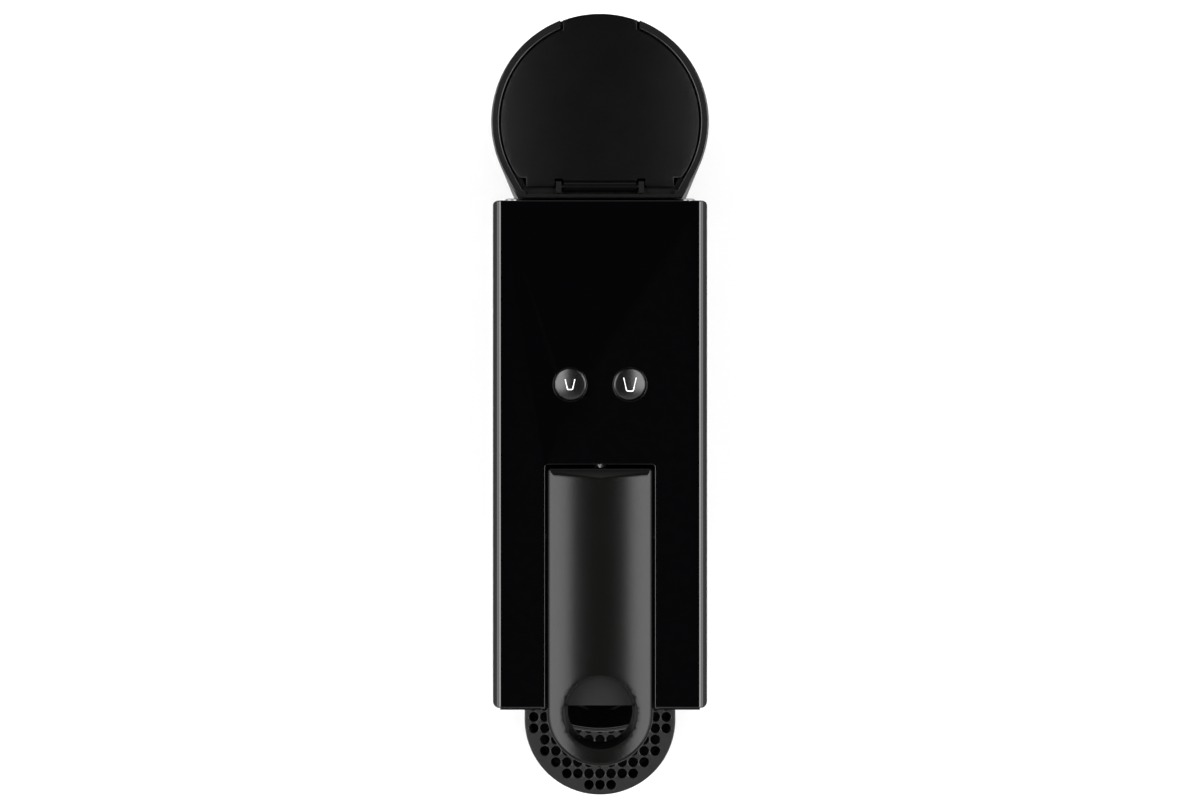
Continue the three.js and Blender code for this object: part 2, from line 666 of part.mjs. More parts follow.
// ---------------------------------------------------------------- water path
function heater() {
  const { half, front, rear, foot, top } = HEATER;
  const block = box(-half, half, front, rear, foot, top);
  const ribs = [];
  for (let rib = 0; rib < 4; rib += 1) {
    ribs.push(box(-half - 2, half + 2, front + 4 + rib * 9, front + 8 + rib * 9, foot + 4, top - 4));
  }
  const sleeve = rodY(0, front - 1, front + CAGE_TRAVEL + 8, CAGE.z, 2.9, 16);
  const inlet = rodY(0, rear - 8, rear + 1, 160, 1.5, 10);
  const feed = rodZ(0, front + CAGE_TRAVEL + 5, CAGE.z, 160, 1.4, 1.4, 8);
  const link = rodY(0, front + CAGE_TRAVEL + 4, rear - 6, 160, 1.4, 8);
  piece("heater_block", cut(join([block, ...ribs]), [sleeve, inlet, feed, link]), ALUMINIUM);
}

function pump() {
  const { y, radius, foot, top } = PUMP;
  const body = turnedZ(0, y, [
    [0, foot],
    [4, foot],
    [4, foot + 6],
    [radius - 3, foot + 6],
    [radius, foot + 10],
    [radius, top - 16],
    [radius - 5, top - 12],
    [radius - 5, top - 8],
    [3.4, top - 8],
    [3.4, top],
    [0, top],
  ], 18);
  piece("pump", body, STEEL);
  piece("pump_mount_lower", ring(0, y, radius + GAP, radius + 4, foot + 14, foot + 20, 20), RUBBER);
  piece("pump_mount_upper", ring(0, y, radius + GAP, radius + 4, top - 28, top - 22, 20), RUBBER);
  const back = box(-24, 24, BODY.rear - 5, BODY.rear - 3.2, foot - 4, top);
  const shelves = [foot + 10.6, top - 31.4].map((z) => box(-24, 24, y - 18, BODY.rear - 4, z, z + 3));
  const way = rodZ(0, y, foot - 10, top + 10, radius + 1);
  piece("pump_bracket", join([back, ...shelves]).subtract(way), ALUMINIUM);
}

function flowMeter() {
  const { y, radius, foot, top, chamber } = METER;
  const housing = rodZ(0, y, foot, top, radius, radius, 28);
  const tools = [
    rodZ(0, y, foot + 3, top - 3, chamber, chamber, 24),
    rodZ(0, y, foot - 1, foot + 4, 1.6, 1.6, 10),
    rodZ(0, y, top - 4, top + 1, 1.6, 1.6, 10),
  ];
  piece("flow_meter", cut(housing, tools), WHITE_PLASTIC);
  const vanes = [0, 1, 2].map((vane) => {
    const geometry = new THREE.BoxGeometry(17, 1.4, 6);
    geometry.rotateZ((vane * Math.PI) / 3);
    geometry.translate(0, y, (foot + top) / 2);
    return solid(geometry);
  });
  const hub = rodZ(0, y, foot + 3.6, top - 3.6, 2.2, 2.2, 16);
  piece("flow_rotor", join([hub, ...vanes]), WHITE_PLASTIC);
}

function hoses() {
  const inletRoute = [
    [0, TANK.y - 8.9, 9],
    [0, 96, 9],
    [0, 80, 9.4],
    [0, 69, 14],
    [0, METER.y, METER.foot - 6],
    [0, METER.y, METER.foot - GAP],
  ];
  piece("hose_tank_to_meter", hose(inletRoute, 2.6, 1.6, 12), SILICONE);
  const pumpRoute = [
    [0, METER.y, METER.top + GAP],
    [0, METER.y, 53],
    [0, PUMP.y, 63],
    [0, PUMP.y, PUMP.foot - GAP],
  ];
  piece("hose_meter_to_pump", hose(pumpRoute, 2.6, 1.6, 10), SILICONE);
  const heaterRoute = [
    [0, PUMP.y, PUMP.top + GAP],
    [0, PUMP.y, 150],
    [0, 53, 159],
    [0, HEATER.rear + GAP, 160],
  ];
  piece("hose_pump_to_heater", hose(heaterRoute, 2.6, 1.4, 12), SILICONE);
}

// ---------------------------------------------------------------- tank
// The tank seen from above, pulled in by inset: round, with two tangents that narrow to
// a straight neck against the body.
function tankOutline(inset) {
  const radius = TANK.radius - inset;
  const angle = (TANK.tangent * Math.PI) / 180;
  const touchX = radius * Math.cos(angle);
  const touchY = TANK.y + radius * Math.sin(angle);
  const neckY = TANK.neck + inset;
  const neckX = touchX + (touchY - neckY) * Math.tan(angle);
  const shape = new THREE.Shape();
  shape.moveTo(-neckX, neckY);
  shape.lineTo(neckX, neckY);
  shape.absarc(0, TANK.y, radius, angle, Math.PI - angle, false);
  return shape;
}

function tank() {
  const { foot, top, wall, y } = TANK;
  const blank = upright(tankOutline(0), foot, top, 28);
  const cavity = join([
    upright(tankOutline(wall), foot + 2.5, top - 8, 28),
    upright(tankOutline(5), top - 9, top + 1, 28),
    upright(tankOutline(3), LID.foot - 0.4, top + 1, 28),
  ]);
  const tabNotch = box(-LID.tab - 0.9, LID.tab + 0.9, y + 30, y + 50, LID.foot - 0.4, top + 1);
  const barrelRoom = box(-14.4, 14.4, TANK.neck + 1.5, TANK.neck + 8, LID.foot - 2.6, top + 1);
  const roomHalf = LID.shoulder + GAP;
  const neck = TANK.neck;
  const turningRoom = box(-roomHalf, roomHalf, neck + 1.5, neck + 5, LID.foot - 0.4, top + 1);
  const lump = rodZ(0, y, foot + 2, VALVE.floor, VALVE.recess + 2.5, VALVE.recess + 2.5, 20);
  const recess = rodZ(0, y, foot - 1, VALVE.ceiling, VALVE.recess, VALVE.recess, 20);
  const valveHole = rodZ(0, y, foot, VALVE.floor + 1, VALVE.hole, VALVE.hole, 12);
  const ears = SIDES.map(([, side]) => {
    const [near, far] = onSide(side, 14.9, 17);
    return box(near, far, TANK.neck + 2, LID.hingeY + 1.8, top - 10, top);
  });
  const pinHole = rodX(-18, 18, LID.hingeY, LID.hingeZ, 1.3, 12);
  const shell = cut(blank, [cavity, tabNotch, barrelRoom, turningRoom]).add(lump).add(join(ears));
  piece("water_tank", cut(shell, [recess, valveHole, pinHole]), SMOKE);
}

function tankLid() {
  const { inset, foot, top, tab, shoulder, hingeY, hingeZ } = LID;
  const plate = upright(tankOutline(inset), foot, top, 28).subtract(
    box(-60, 60, 0, hingeY - 0.4, foot - 5, top + 5),
  );
  const tabShape = upright(tankOutline(0.3), foot, top, 28).intersect(
    box(-tab, tab, TANK.y + 20, TANK.y + 60, foot - 1, top + 1),
  );
  const barrel = rodX(-14, 14, hingeY, hingeZ, 2, 16);
  const earRoom = SIDES.map(([, side]) => {
    const [near, far] = onSide(side, 14.4, 17.5);
    return box(near, far, hingeY - 6, hingeY + 3, foot - 5, top + 5);
  });
  const trims = SIDES.map(([, side]) => {
    const [near, far] = onSide(side, shoulder, 40);
    return box(near, far, hingeY - 6, hingeY + 3.2, foot - 5, top + 5);
  });
  const bore = rodX(-18, 18, hingeY, hingeZ, 1.2, 12);
  const blank = join([plate, tabShape, barrel]);
  piece("tank_lid", cut(blank, [...earRoom, ...trims, bore]), SATIN_BLACK);
  piece("lid_pin", rodX(-16.9, 16.9, hingeY, hingeZ, 0.9, 12), STEEL);
}

function tankValve() {
  const { y } = TANK;
  const { floor } = VALVE;
  const plug = turnedZ(0, y, [
    [0, 16.2],
    [2.6, 16.2],
    [2.6, floor + GAP],
    [6, floor + GAP],
    [6, floor + 2.3],
    [2.2, floor + 3.2],
    [0, floor + 3.2],
  ], 14);
  piece("tank_valve", plug, RUBBER);
  const posts = SIDES.map(([, side]) => {
    const [near, far] = onSide(side, 8, 10.5);
    return box(near, far, y - 2.5, y + 2.5, floor + GAP, floor + 14);
  });
  const bar = box(-10.5, 10.5, y - 2.5, y + 2.5, floor + 12, floor + 14);
  piece("valve_bridge", join([...posts, bar]), SATIN_BLACK);
  const coil = new THREE.CatmullRomCurve3(
    Array.from({ length: 31 }, (_, step) => {
      const turn = (step / 10) * Math.PI * 2;
      return new THREE.Vector3(4 * Math.cos(turn), y + 4 * Math.sin(turn), floor + 3.6 + step * 0.25);
    }),
  );
  const options = { steps: 36, curveSegments: 2, bevelEnabled: false, extrudePath: coil };
  piece("valve_spring", solid(new THREE.ExtrudeGeometry(circleShape(0.4), options)), STEEL);
  piece("tank_connector", ring(0, y, 3, 8.5, 5.6, 15.4, 16), SATIN_BLACK);
  piece("connector_seal", ring(0, y, 4.6, 7.6, 15.7, VALVE.ceiling - GAP, 16), RUBBER);
}

// ---------------------------------------------------------------- drip drawer
// A tray outline pulled in by inset: a half-round front with straight sides back to rear.
function trayOutline(inset, rear) {
  const radius = TRAY.radius - inset;
  const shape = new THREE.Shape();
  shape.absarc(0, TRAY.y, radius, Math.PI, 0, false);
  shape.lineTo(radius, rear);
  shape.lineTo(-radius, rear);
  return shape;
}

function dripBase() {
  const { wall, foot, top, back } = TRAY;
  const inner = BIN.half - 2;
  const basin = upright(trayOutline(0, back), foot, top, 28);
  const runner = box(-BIN.half, BIN.half, back - 4, BIN.rear, FLOOR_GAP + 3.4, GRID.top - 0.1);
  const runnerFront = box(-BIN.half - 1, BIN.half + 1, back - 10, back + 0.1, top, GRID.top + 1);
  const basinRoom = upright(trayOutline(wall, back - 2), foot + 2, top + 1, 28);
  const runnerRoom = box(-inner, inner, back - 8, BIN.rear - 2, FLOOR_GAP + 5.4, GRID.top + 1);
  piece("drip_base", cut(basin.add(runner), [runnerFront, basinRoom, runnerRoom]), SATIN_BLACK);
}

function dripGrid() {
  const { foot, top, hole, pitchX, pitchY, first, reach } = GRID;
  const shape = trayOutline(0, TRAY.back - 0.6);
  for (let y = first; y < TRAY.back - 4; y += pitchY) {
    for (let column = -6; column <= 6; column += 1) {
      const x = column * pitchX;
      const inFront = y < TRAY.y;
      if (inFront && Math.hypot(x, y - TRAY.y) > reach) continue;
      const path = new THREE.Path();
      path.moveTo(x + hole, y);
      path.lineTo(x, y - hole);
      path.lineTo(x - hole, y);
      path.lineTo(x, y + hole);
      shape.holes.push(path);
    }
  }
  piece("drip_grid", upright(shape, foot, top, 28), TRAY_GREY);
}

function capsuleBin() {
  const { half, front, rear, foot, top, face, wall } = BIN;
  const tub = box(-half, half, front + 1, rear, foot, top - 4);
  const faceplate = box(-face, face, front, front + 2.4, foot, top);
  const room = box(-half + wall, half - wall, front + 2.4, rear - wall, foot + wall, top + 1);
  piece("capsule_bin", tub.add(faceplate).subtract(room), SATIN_BLACK);
}

outerShell();
frontPanel();
rearPanel();
leverChannel();
screws();
basePlate();
feet();
cableGland();
lever();
leverGears();
idlers();
brewCage();
brewFrame();
extraction();
outletNose();
buttons();
controlBoard();
heater();
pump();
flowMeter();
hoses();
tank();
tankLid();
tankValve();
dripBase();
dripGrid();
capsuleBin();

export default machine;
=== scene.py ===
"""A slim pod coffee machine: its moulded skin, its finishes and a plain studio round them.

Run as a script in Blender 4.5. Lengths inside the outline helpers are in millimetres and
become metres when a mesh is made.
"""

import math

import bmesh
import bpy
from mathutils import Matrix, Vector
from mathutils.geometry import delaunay_2d_cdt


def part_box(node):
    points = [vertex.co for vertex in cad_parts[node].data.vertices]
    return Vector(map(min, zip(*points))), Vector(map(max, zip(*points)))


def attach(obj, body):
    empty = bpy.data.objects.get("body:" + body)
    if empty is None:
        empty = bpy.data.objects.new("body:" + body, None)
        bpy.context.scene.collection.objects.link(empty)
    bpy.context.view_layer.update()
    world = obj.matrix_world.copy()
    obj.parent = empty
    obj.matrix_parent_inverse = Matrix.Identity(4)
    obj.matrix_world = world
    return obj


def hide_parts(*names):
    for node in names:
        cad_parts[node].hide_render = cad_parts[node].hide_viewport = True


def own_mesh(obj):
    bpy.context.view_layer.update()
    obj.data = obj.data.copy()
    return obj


bl_info = {
    "name": "Pod Coffee Machine",
    "version": (1, 0, 0),
    "blender": (4, 5, 0),
    "location": "View3D > Sidebar > Coffee Machine",
    "description": "Builds the skin, finishes and studio of a slim pod coffee machine",
    "category": "Object",
}

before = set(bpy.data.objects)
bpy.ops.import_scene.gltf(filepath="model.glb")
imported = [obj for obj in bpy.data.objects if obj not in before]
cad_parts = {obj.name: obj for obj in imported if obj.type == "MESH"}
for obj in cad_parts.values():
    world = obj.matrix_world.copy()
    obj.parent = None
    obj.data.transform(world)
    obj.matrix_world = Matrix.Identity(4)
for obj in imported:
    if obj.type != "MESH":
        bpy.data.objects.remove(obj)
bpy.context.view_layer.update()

MM = 0.001
SIDES = (("left", -1), ("right", 1))
BUTTONS = (("small", -1), ("large", 1))


# ------------------------------------------------------------------ sizes from the frame
class Span:
    """The lowest and highest corner of a frame node, in millimetres."""

    def __init__(self, node):
        low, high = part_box(node)
        self.low = low / MM
        self.high = high / MM
        self.mid = (self.low + self.high) / 2
        self.size = self.high - self.low


SHELL = Span("outer_shell")
LEVER = Span("lever")
CHANNEL = Span("lever_channel")
NOSE = Span("outlet_nose")
PANEL = Span("front_panel")
BIN = Span("capsule_bin")
TRAY = Span("drip_base")
GRID = Span("drip_grid")
TANK = Span("water_tank")
LID = Span("tank_lid")
BASE = Span("base_plate")

WALL = 2.5  # the sleeve's thickness
CHANNEL_HALF = 21.0  # half the width of the sleeve's opening for the lever
CHANNEL_REAR = CHANNEL.high.y - 1.4
COLUMN_FRONT = BIN.low.y
HEAD_UNDER = 118.0  # height of the head's underside
COVE = 12.0  # radius between the head's underside and the column
RING_Y = LEVER.low.y + LEVER.high.x
FINGER_HOLE = 12.3  # radii of the lever's ring, a button's hole and a button's cap
BUTTON_HOLE = 6.42
BUTTON_CAP = 6.1
TANK_RADIUS = TANK.high.x
TANK_Y = TANK.high.y - TANK_RADIUS
TANK_TANGENT = math.radians(28.7)
TRAY_RADIUS = TRAY.high.x
TRAY_Y = TRAY.low.y + TRAY_RADIUS
HINGE = Span("lid_pin").mid
LID_TAB = 14.4  # half the width of the lid's lifting tab
LIGHT_DISTANCE = 1.7  # metres from the body's top to each softbox
CAMERA_HEIGHT = 1.3  # metres
CAMERA_Y = 0.01055
LENS = 86.5
CROSS = ((0.35, 1.6), (1.6, 0.35))  # half sizes of the two slots in a screw's head


# ------------------------------------------------------------------ settings
class MachineSizes(bpy.types.PropertyGroup):
    """Sizes of the moulded details."""

    shoulder: bpy.props.FloatProperty(
        name="Shoulder radius",
        description="Radius of the two long top edges of the sleeve",
        default=3.4 * MM,
        min=MM,
        unit="LENGTH",
    )
    soft_edge: bpy.props.FloatProperty(
        name="Soft edge",
        description="Radius on the ends of the sleeve and round its openings",
        default=0.45 * MM,
        min=0.1 * MM,
        unit="LENGTH",
    )
    lever_crown: bpy.props.FloatProperty(
        name="Lever crown",
        description="How far the middle of the lever stands above its edges",
        default=2.0 * MM,
        min=0.0,
        unit="LENGTH",
    )
    lid_crown: bpy.props.FloatProperty(
        name="Lid crown",
        description="How far the middle of the tank lid stands above its sides",
        default=1.3 * MM,
        min=0.0,
        unit="LENGTH",
    )
    hole_radius: bpy.props.FloatProperty(
        name="Grid hole radius",
        description="Radius of a drain hole in the drip grid",
        default=2.2 * MM,
        min=MM,
        unit="LENGTH",
    )


def colour(label, about, value):
    """A colour setting shown in the panel."""
    return bpy.props.FloatVectorProperty(
        name=label, description=about, subtype="COLOR", size=3, min=0.0, max=1.0, default=value
    )


class MachineColours(bpy.types.PropertyGroup):
    """Base colours of the finishes."""

    gloss: colour("Gloss black", "Sleeve, outlet cover and buttons", (0.0007, 0.0007, 0.0009))
    satin: colour("Satin black", "Head front, lid, base, bin and tray", (0.0012, 0.0012, 0.0015))
    lever: colour("Lever charcoal", "Lever", (0.0024, 0.0023, 0.0021))
    tray: colour("Tray grey", "Drip grid", (0.0048, 0.0048, 0.0047))
    inner: colour("Inner black", "Channel, back panel and brew unit frame", (0.006, 0.006, 0.0065))
    tank: colour("Smoked tank", "Water tank", (0.006, 0.006, 0.0064))
    icon: colour("Icon white", "Lit cup outlines on the buttons", (0.95, 0.96, 1.0))
    floor: colour("Floor", "Studio floor", (0.94, 0.94, 0.94))


def sizes():
    return bpy.context.scene.machine_sizes


def colours():
    return bpy.context.scene.machine_colours


# ------------------------------------------------------------------ outlines, millimetres
def arc(x, y, radius, start, end, steps):
    """Points along an arc, in degrees, both ends included."""
    points = []
    for step in range(steps + 1):
        angle = math.radians(start + (end - start) * step / steps)
        points.append(Vector((x + radius * math.cos(angle), y + radius * math.sin(angle))))
    return points


def circle(x, y, radius, steps=48):
    return arc(x, y, radius, 0, 360, steps)[:-1]


def rounded(corners, steps=8):
    """A closed outline from (x, y, radius) corners, taken anticlockwise or clockwise."""
    points = []
    count = len(corners)
    for index, (x, y, radius) in enumerate(corners):
        here = Vector((x, y))
        before = Vector(corners[index - 1][:2]) - here
        after = Vector(corners[(index + 1) % count][:2]) - here
        if radius <= 0:
            points.append(here)
            continue
        half = before.angle(after) / 2
        reach = radius / math.tan(half)
        start = here + before.normalized() * reach
        end = here + after.normalized() * reach
        middle = (before.normalized() + after.normalized()).normalized()
        centre = here + middle * (radius / math.sin(half))
        swing = (start - centre).angle_signed(end - centre)
        for step in range(steps + 1):
            turned = (start - centre).copy()
            turned.rotate(Matrix.Rotation(-swing * step / steps, 2))
            points.append(centre + turned)
    return points


def rectangle(x0, x1, y0, y1, radius, steps=6):
    return rounded([(x0, y0, radius), (x1, y0, radius), (x1, y1, radius), (x0, y1, radius)], steps)


def area(points):
    """An outline's area, positive where it runs anticlockwise."""
    total = 0.0
    for a, b in zip(points, points[1:] + points[:1]):
        total += a.x * b.y - b.x * a.y
    return total / 2


def anticlockwise(points):
    """The outline run anticlockwise, without points that fall on the next one."""
    tidy = [p for p, q in zip(points, points[1:] + points[:1]) if (p - q).length > 1e-4]
    return tidy if area(tidy) > 0 else tidy[::-1]


def inset_by(points, distance):
    """An anticlockwise outline moved towards its inside."""
    moved = []
    count = len(points)
    for index, point in enumerate(points):
        before = (point - points[index - 1]).normalized()
        after = (points[(index + 1) % count] - point).normalized()
        along = (before + after).normalized()
        normal = Vector((-along.y, along.x))
        stretch = 1 / max(0.4, math.cos(before.angle(after) / 2))
        moved.append(point + normal * distance * stretch)
    return moved


def is_inside(point, outline):
    """Whether a point is inside: a line from it crosses the outline an odd number of times."""
    odd = False
    for a, b in zip(outline, outline[1:] + outline[:1]):
        if (a.y > point.y) != (b.y > point.y):
            if point.x < (b.x - a.x) * (point.y - a.y) / (b.y - a.y) + a.x:
                odd = not odd
    return odd


def is_between(point, outlines):
    """Whether a point is inside the first outline and outside the others, its holes."""
    outside, *holes = outlines
    return is_inside(point, outside) and not any(is_inside(point, hole) for hole in holes)


def soft(low, high, radius, steps=4, foot=None):
    """An edge profile with radius round its top and foot, or radius again, round its underside."""
    under = radius if foot is None else foot
    profile = []
    for step in range(steps + 1):
        angle = math.pi / 2 * step / steps
        profile.append((under * (1 - math.sin(angle)), low + under * (1 - math.cos(angle))))
    for step in range(steps + 1):
        angle = math.pi / 2 * step / steps
        profile.append((radius * (1 - math.cos(angle)), high - radius * (1 - math.sin(angle))))
    return profile


def flared(low, high, radius, steps=6):
    """A cutter's profile that leaves a rounded rim at height high."""
    profile = [(0, low)]
    for step in range(steps + 1):
        angle = math.pi / 2 * step / steps
        profile.append((-radius * (1 - math.cos(angle)), high - radius * (1 - math.sin(angle))))
    profile.append((-radius, high + 3))
    return profile


# ------------------------------------------------------------------ meshes
# ACROSS stands a plan in y and z and runs its heights along +X. ALONG stands a plan in x and z
# and runs its heights along -Y.
ACROSS = Matrix(((0, 0, 1, 0), (1, 0, 0, 0), (0, 1, 0, 0), (0, 0, 0, 1)))
ALONG = Matrix(((1, 0, 0, 0), (0, 0, -1, 0), (0, 1, 0, 0), (0, 0, 0, 1)))


def cap(mesh, rings, outlines, height, spacing, upward):
    """Fills between rings with triangles, with a grid of points inside where spacing is given."""
    flat = [point for outline in outlines for point in outline]
    verts = [vert for ring in rings for vert in ring]
    edges = []
    start = 0
    for outline in outlines:
        count = len(outline)
        edges += [(start + i, start + (i + 1) % count) for i in range(count)]
        start += count
    if spacing:
        room = [inset_by(outlines[0], spacing * 0.7)]
        room += [inset_by(hole, -spacing * 0.7) for hole in outlines[1:]]
        xs = [p.x for p in outlines[0]]
        ys = [p.y for p in outlines[0]]
        for i in range(1, int((max(xs) - min(xs)) / spacing) + 1):
            for j in range(1, int((max(ys) - min(ys)) / spacing) + 1):
                point = Vector((min(xs) + i * spacing, min(ys) + j * spacing))
                if is_between(point, room):
                    flat.append(point)
                    verts.append(mesh.verts.new((point.x, point.y, height)))
    coords, _, faces, origin, _, _ = delaunay_2d_cdt(flat, edges, [], 1, 1e-5)
    if not all(origin):
        where = [coords[index] for index, found in enumerate(origin) if not found]
        raise ValueError(f"an outline crosses itself at {where[:3]}")
    for face in faces:
        centre = (coords[face[0]] + coords[face[1]] + coords[face[2]]) / 3
        if is_between(centre, outlines):
            corners = [verts[origin[index][0]] for index in face]
            mesh.faces.new(corners if upward else corners[::-1])


def new_object(name, mesh):
    """An object in the scene made from a bmesh, which it uses up."""
    data = bpy.data.meshes.new(name)
    mesh.to_mesh(data)
    mesh.free()
    made = bpy.data.objects.new(name, data)
    bpy.context.scene.collection.objects.link(made)
    return made


def moulded(name, loops, spacing=None, lift=None, place=None):
    """A closed solid. Each loop is (outline, profile): the outside first, then any holes.

    A profile is a list of (inset, height) from the underside up. lift(x, y, z) returns a
    point's new height, and place turns the solid out of the plan.
    """
    mesh = bmesh.new()
    low_rings, high_rings, low_lines, high_lines = [], [], [], []
    for number, (outline, profile) in enumerate(loops):
        points = anticlockwise(list(outline))
        side = 1 if number == 0 else -1
        rings = []
        for distance, height in profile:
            line = inset_by(points, distance * side)
            rings.append(([mesh.verts.new((p.x, p.y, height)) for p in line], line))
        for (lower, _), (upper, _) in zip(rings, rings[1:]):
            for i in range(len(lower)):
                j = (i + 1) % len(lower)
                quad = [lower[i], lower[j], upper[j], upper[i]]
                mesh.faces.new(quad if number == 0 else quad[::-1])
        low_rings.append(rings[0][0])
        low_lines.append(rings[0][1])
        high_rings.append(rings[-1][0])
        high_lines.append(rings[-1][1])
    cap(mesh, high_rings, high_lines, loops[0][1][-1][1], spacing, True)
    cap(mesh, low_rings, low_lines, loops[0][1][0][1], None, False)
    if lift:
        for vert in mesh.verts:
            vert.co.z = lift(vert.co.x, vert.co.y, vert.co.z)
    if place:
        bmesh.ops.transform(mesh, matrix=place, verts=mesh.verts)
    bmesh.ops.scale(mesh, vec=(MM, MM, MM), verts=mesh.verts)
    bmesh.ops.recalc_face_normals(mesh, faces=mesh.faces)
    return new_object(name, mesh)


def block(x0, x1, y0, y1, z0, z1, radius=0.0):
    """A plain cutter or rib, its upright edges rounded by radius."""
    return moulded("block", [(rectangle(x0, x1, y0, y1, radius), [(0, z0), (0, z1)])])


def rod_across(x0, x1, y, z, radius, steps=32):
    return moulded("rod", [(circle(y, z, radius, steps), [(0, x0), (0, x1)])], place=ACROSS)


def rod_along(x, y0, y1, z, radius, steps=32):
    return moulded("rod", [(circle(x, z, radius, steps), [(0, -y1), (0, -y0)])], place=ALONG)


def settle(piece):
    """Turns a piece's modifiers into its mesh."""
    graph = bpy.context.evaluated_depsgraph_get()
    data = bpy.data.meshes.new_from_object(piece.evaluated_get(graph), depsgraph=graph)
    old = piece.data
    piece.modifiers.clear()
    piece.data = data
    bpy.data.meshes.remove(old)
    data.name = piece.name


def boolean(piece, tools, operation):
    """Applies each tool to the piece in turn, and deletes it."""
    for tool in tools:
        modifier = piece.modifiers.new(operation.lower(), "BOOLEAN")
        modifier.operation = operation
        modifier.solver = "EXACT"
        modifier.object = tool
        settle(piece)
        data = tool.data
        bpy.data.objects.remove(tool)
        bpy.data.meshes.remove(data)
    return piece


def cut(piece, *tools):
    return boolean(piece, tools, "DIFFERENCE")


def join(piece, *tools):
    return boolean(piece, tools, "UNION")


def shade(piece, angle=32):
    """Smooth shading with crisp edges, and flat faces kept flat."""
    for polygon in piece.data.polygons:
        polygon.use_smooth = True
    piece.data.set_sharp_from_angle(angle=math.radians(angle))
    modifier = piece.modifiers.new("weighted_normals", "WEIGHTED_NORMAL")
    modifier.keep_sharp = True
    modifier.weight = 90
    settle(piece)


def place_piece(piece, name, body, finish, replaced=()):
    """Names a piece, gives it its finish and puts it on its body."""
    piece.name = name
    piece.data.name = name
    piece.data.materials.clear()
    piece.data.materials.append(finish)
    shade(piece)
    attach(piece, body)
    if replaced:
        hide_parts(*replaced)
    return piece


# ------------------------------------------------------------------ shader groups
def new_group(name, inputs, outputs):
    """An empty shader group with named float or colour sockets."""
    tree = bpy.data.node_groups.new(name, "ShaderNodeTree")
    for label, kind, value in inputs:
        socket = tree.interface.new_socket(name=label, in_out="INPUT", socket_type=kind)
        socket.default_value = value
    for label, kind in outputs:
        tree.interface.new_socket(name=label, in_out="OUTPUT", socket_type=kind)
    return tree, tree.nodes.new("NodeGroupInput"), tree.nodes.new("NodeGroupOutput")


def maths(tree, operation, first, second=None, clamp=False):
    node = tree.nodes.new("ShaderNodeMath")
    node.operation = operation
    node.use_clamp = clamp
    for index, value in enumerate((first, second)):
        if value is None:
            continue
        if isinstance(value, (int, float)):
            node.inputs[index].default_value = value
        else:
            tree.links.new(value, node.inputs[index])
    return node.outputs[0]


def noise(tree, scale, detail, roughness=0.55, vector=None):
    node = tree.nodes.new("ShaderNodeTexNoise")
    node.inputs["Detail"].default_value = detail
    node.inputs["Roughness"].default_value = roughness
    if isinstance(scale, (int, float)):
        node.inputs["Scale"].default_value = scale
    else:
        tree.links.new(scale, node.inputs["Scale"])
    if vector is None:
        coordinates = tree.nodes.new("ShaderNodeTexCoord")
        vector = coordinates.outputs["Object"]
    tree.links.new(vector, node.inputs["Vector"])
    return node.outputs["Fac"]


def fine_grain_group():
    """Spark-eroded mould texture: a height, and a value that scatters round one half."""
    tree, start, end = new_group(
        "Fine grain",
        [("Scale", "NodeSocketFloat", 1800.0), ("Depth", "NodeSocketFloat", 1.0)],
        [("Height", "NodeSocketFloat"), ("Scatter", "NodeSocketFloat")],
    )
    pits = noise(tree, start.outputs["Scale"], 3.0, 0.6)
    broad = noise(tree, 90.0, 2.0)
    height = maths(tree, "MULTIPLY", pits, start.outputs["Depth"])
    fine_part = maths(tree, "MULTIPLY", pits, 0.6)
    broad_part = maths(tree, "MULTIPLY", broad, 0.4)
    blend = maths(tree, "ADD", fine_part, broad_part)
    tree.links.new(height, end.inputs["Height"])
    tree.links.new(blend, end.inputs["Scatter"])
    return tree


def handling_group():
    """Where hands and cloths have been: soft smears, and fine hairlines that run one way."""
    tree, start, end = new_group(
        "Handling",
        [("Smear", "NodeSocketFloat", 1.0), ("Hairline", "NodeSocketFloat", 1.0)],
        [("Mask", "NodeSocketFloat")],
    )
    coordinates = tree.nodes.new("ShaderNodeTexCoord")
    stretch = tree.nodes.new("ShaderNodeMapping")
    stretch.inputs["Scale"].default_value = (1.0, 0.12, 1.0)
    stretch.inputs["Rotation"].default_value = (0.0, 0.0, 0.35)
    tree.links.new(coordinates.outputs["Object"], stretch.inputs["Vector"])
    lines = noise(tree, 900.0, 2.0, 0.5, stretch.outputs["Vector"])
    sharp_lines = maths(tree, "MULTIPLY", maths(tree, "SUBTRACT", lines, 0.62, True), 3.0, True)
    smears = noise(tree, 28.0, 4.0, 0.6)
    soft_smears = maths(tree, "MULTIPLY", maths(tree, "SUBTRACT", smears, 0.5, True), 2.0, True)
    first = maths(tree, "MULTIPLY", soft_smears, start.outputs["Smear"])
    second = maths(tree, "MULTIPLY", sharp_lines, start.outputs["Hairline"])
    tree.links.new(maths(tree, "ADD", first, second, True), end.inputs["Mask"])
    return tree


def edge_wear_group():
    """A mask on sharp outer edges, broken up by noise."""
    tree, start, end = new_group(
        "Edge wear",
        [("Amount", "NodeSocketFloat", 1.0)],
        [("Mask", "NodeSocketFloat")],
    )
    geometry = tree.nodes.new("ShaderNodeNewGeometry")
    sharp = maths(tree, "SUBTRACT", geometry.outputs["Pointiness"], 0.53, True)
    edges = maths(tree, "MULTIPLY", sharp, 9.0, True)
    broken = maths(tree, "MULTIPLY", edges, noise(tree, 260.0, 3.0))
    worn = maths(tree, "MULTIPLY", broken, start.outputs["Amount"], True)
    tree.links.new(worn, end.inputs["Mask"])
    return tree


GROUPS = {"grain": fine_grain_group, "handling": handling_group, "wear": edge_wear_group}
made_groups = {}


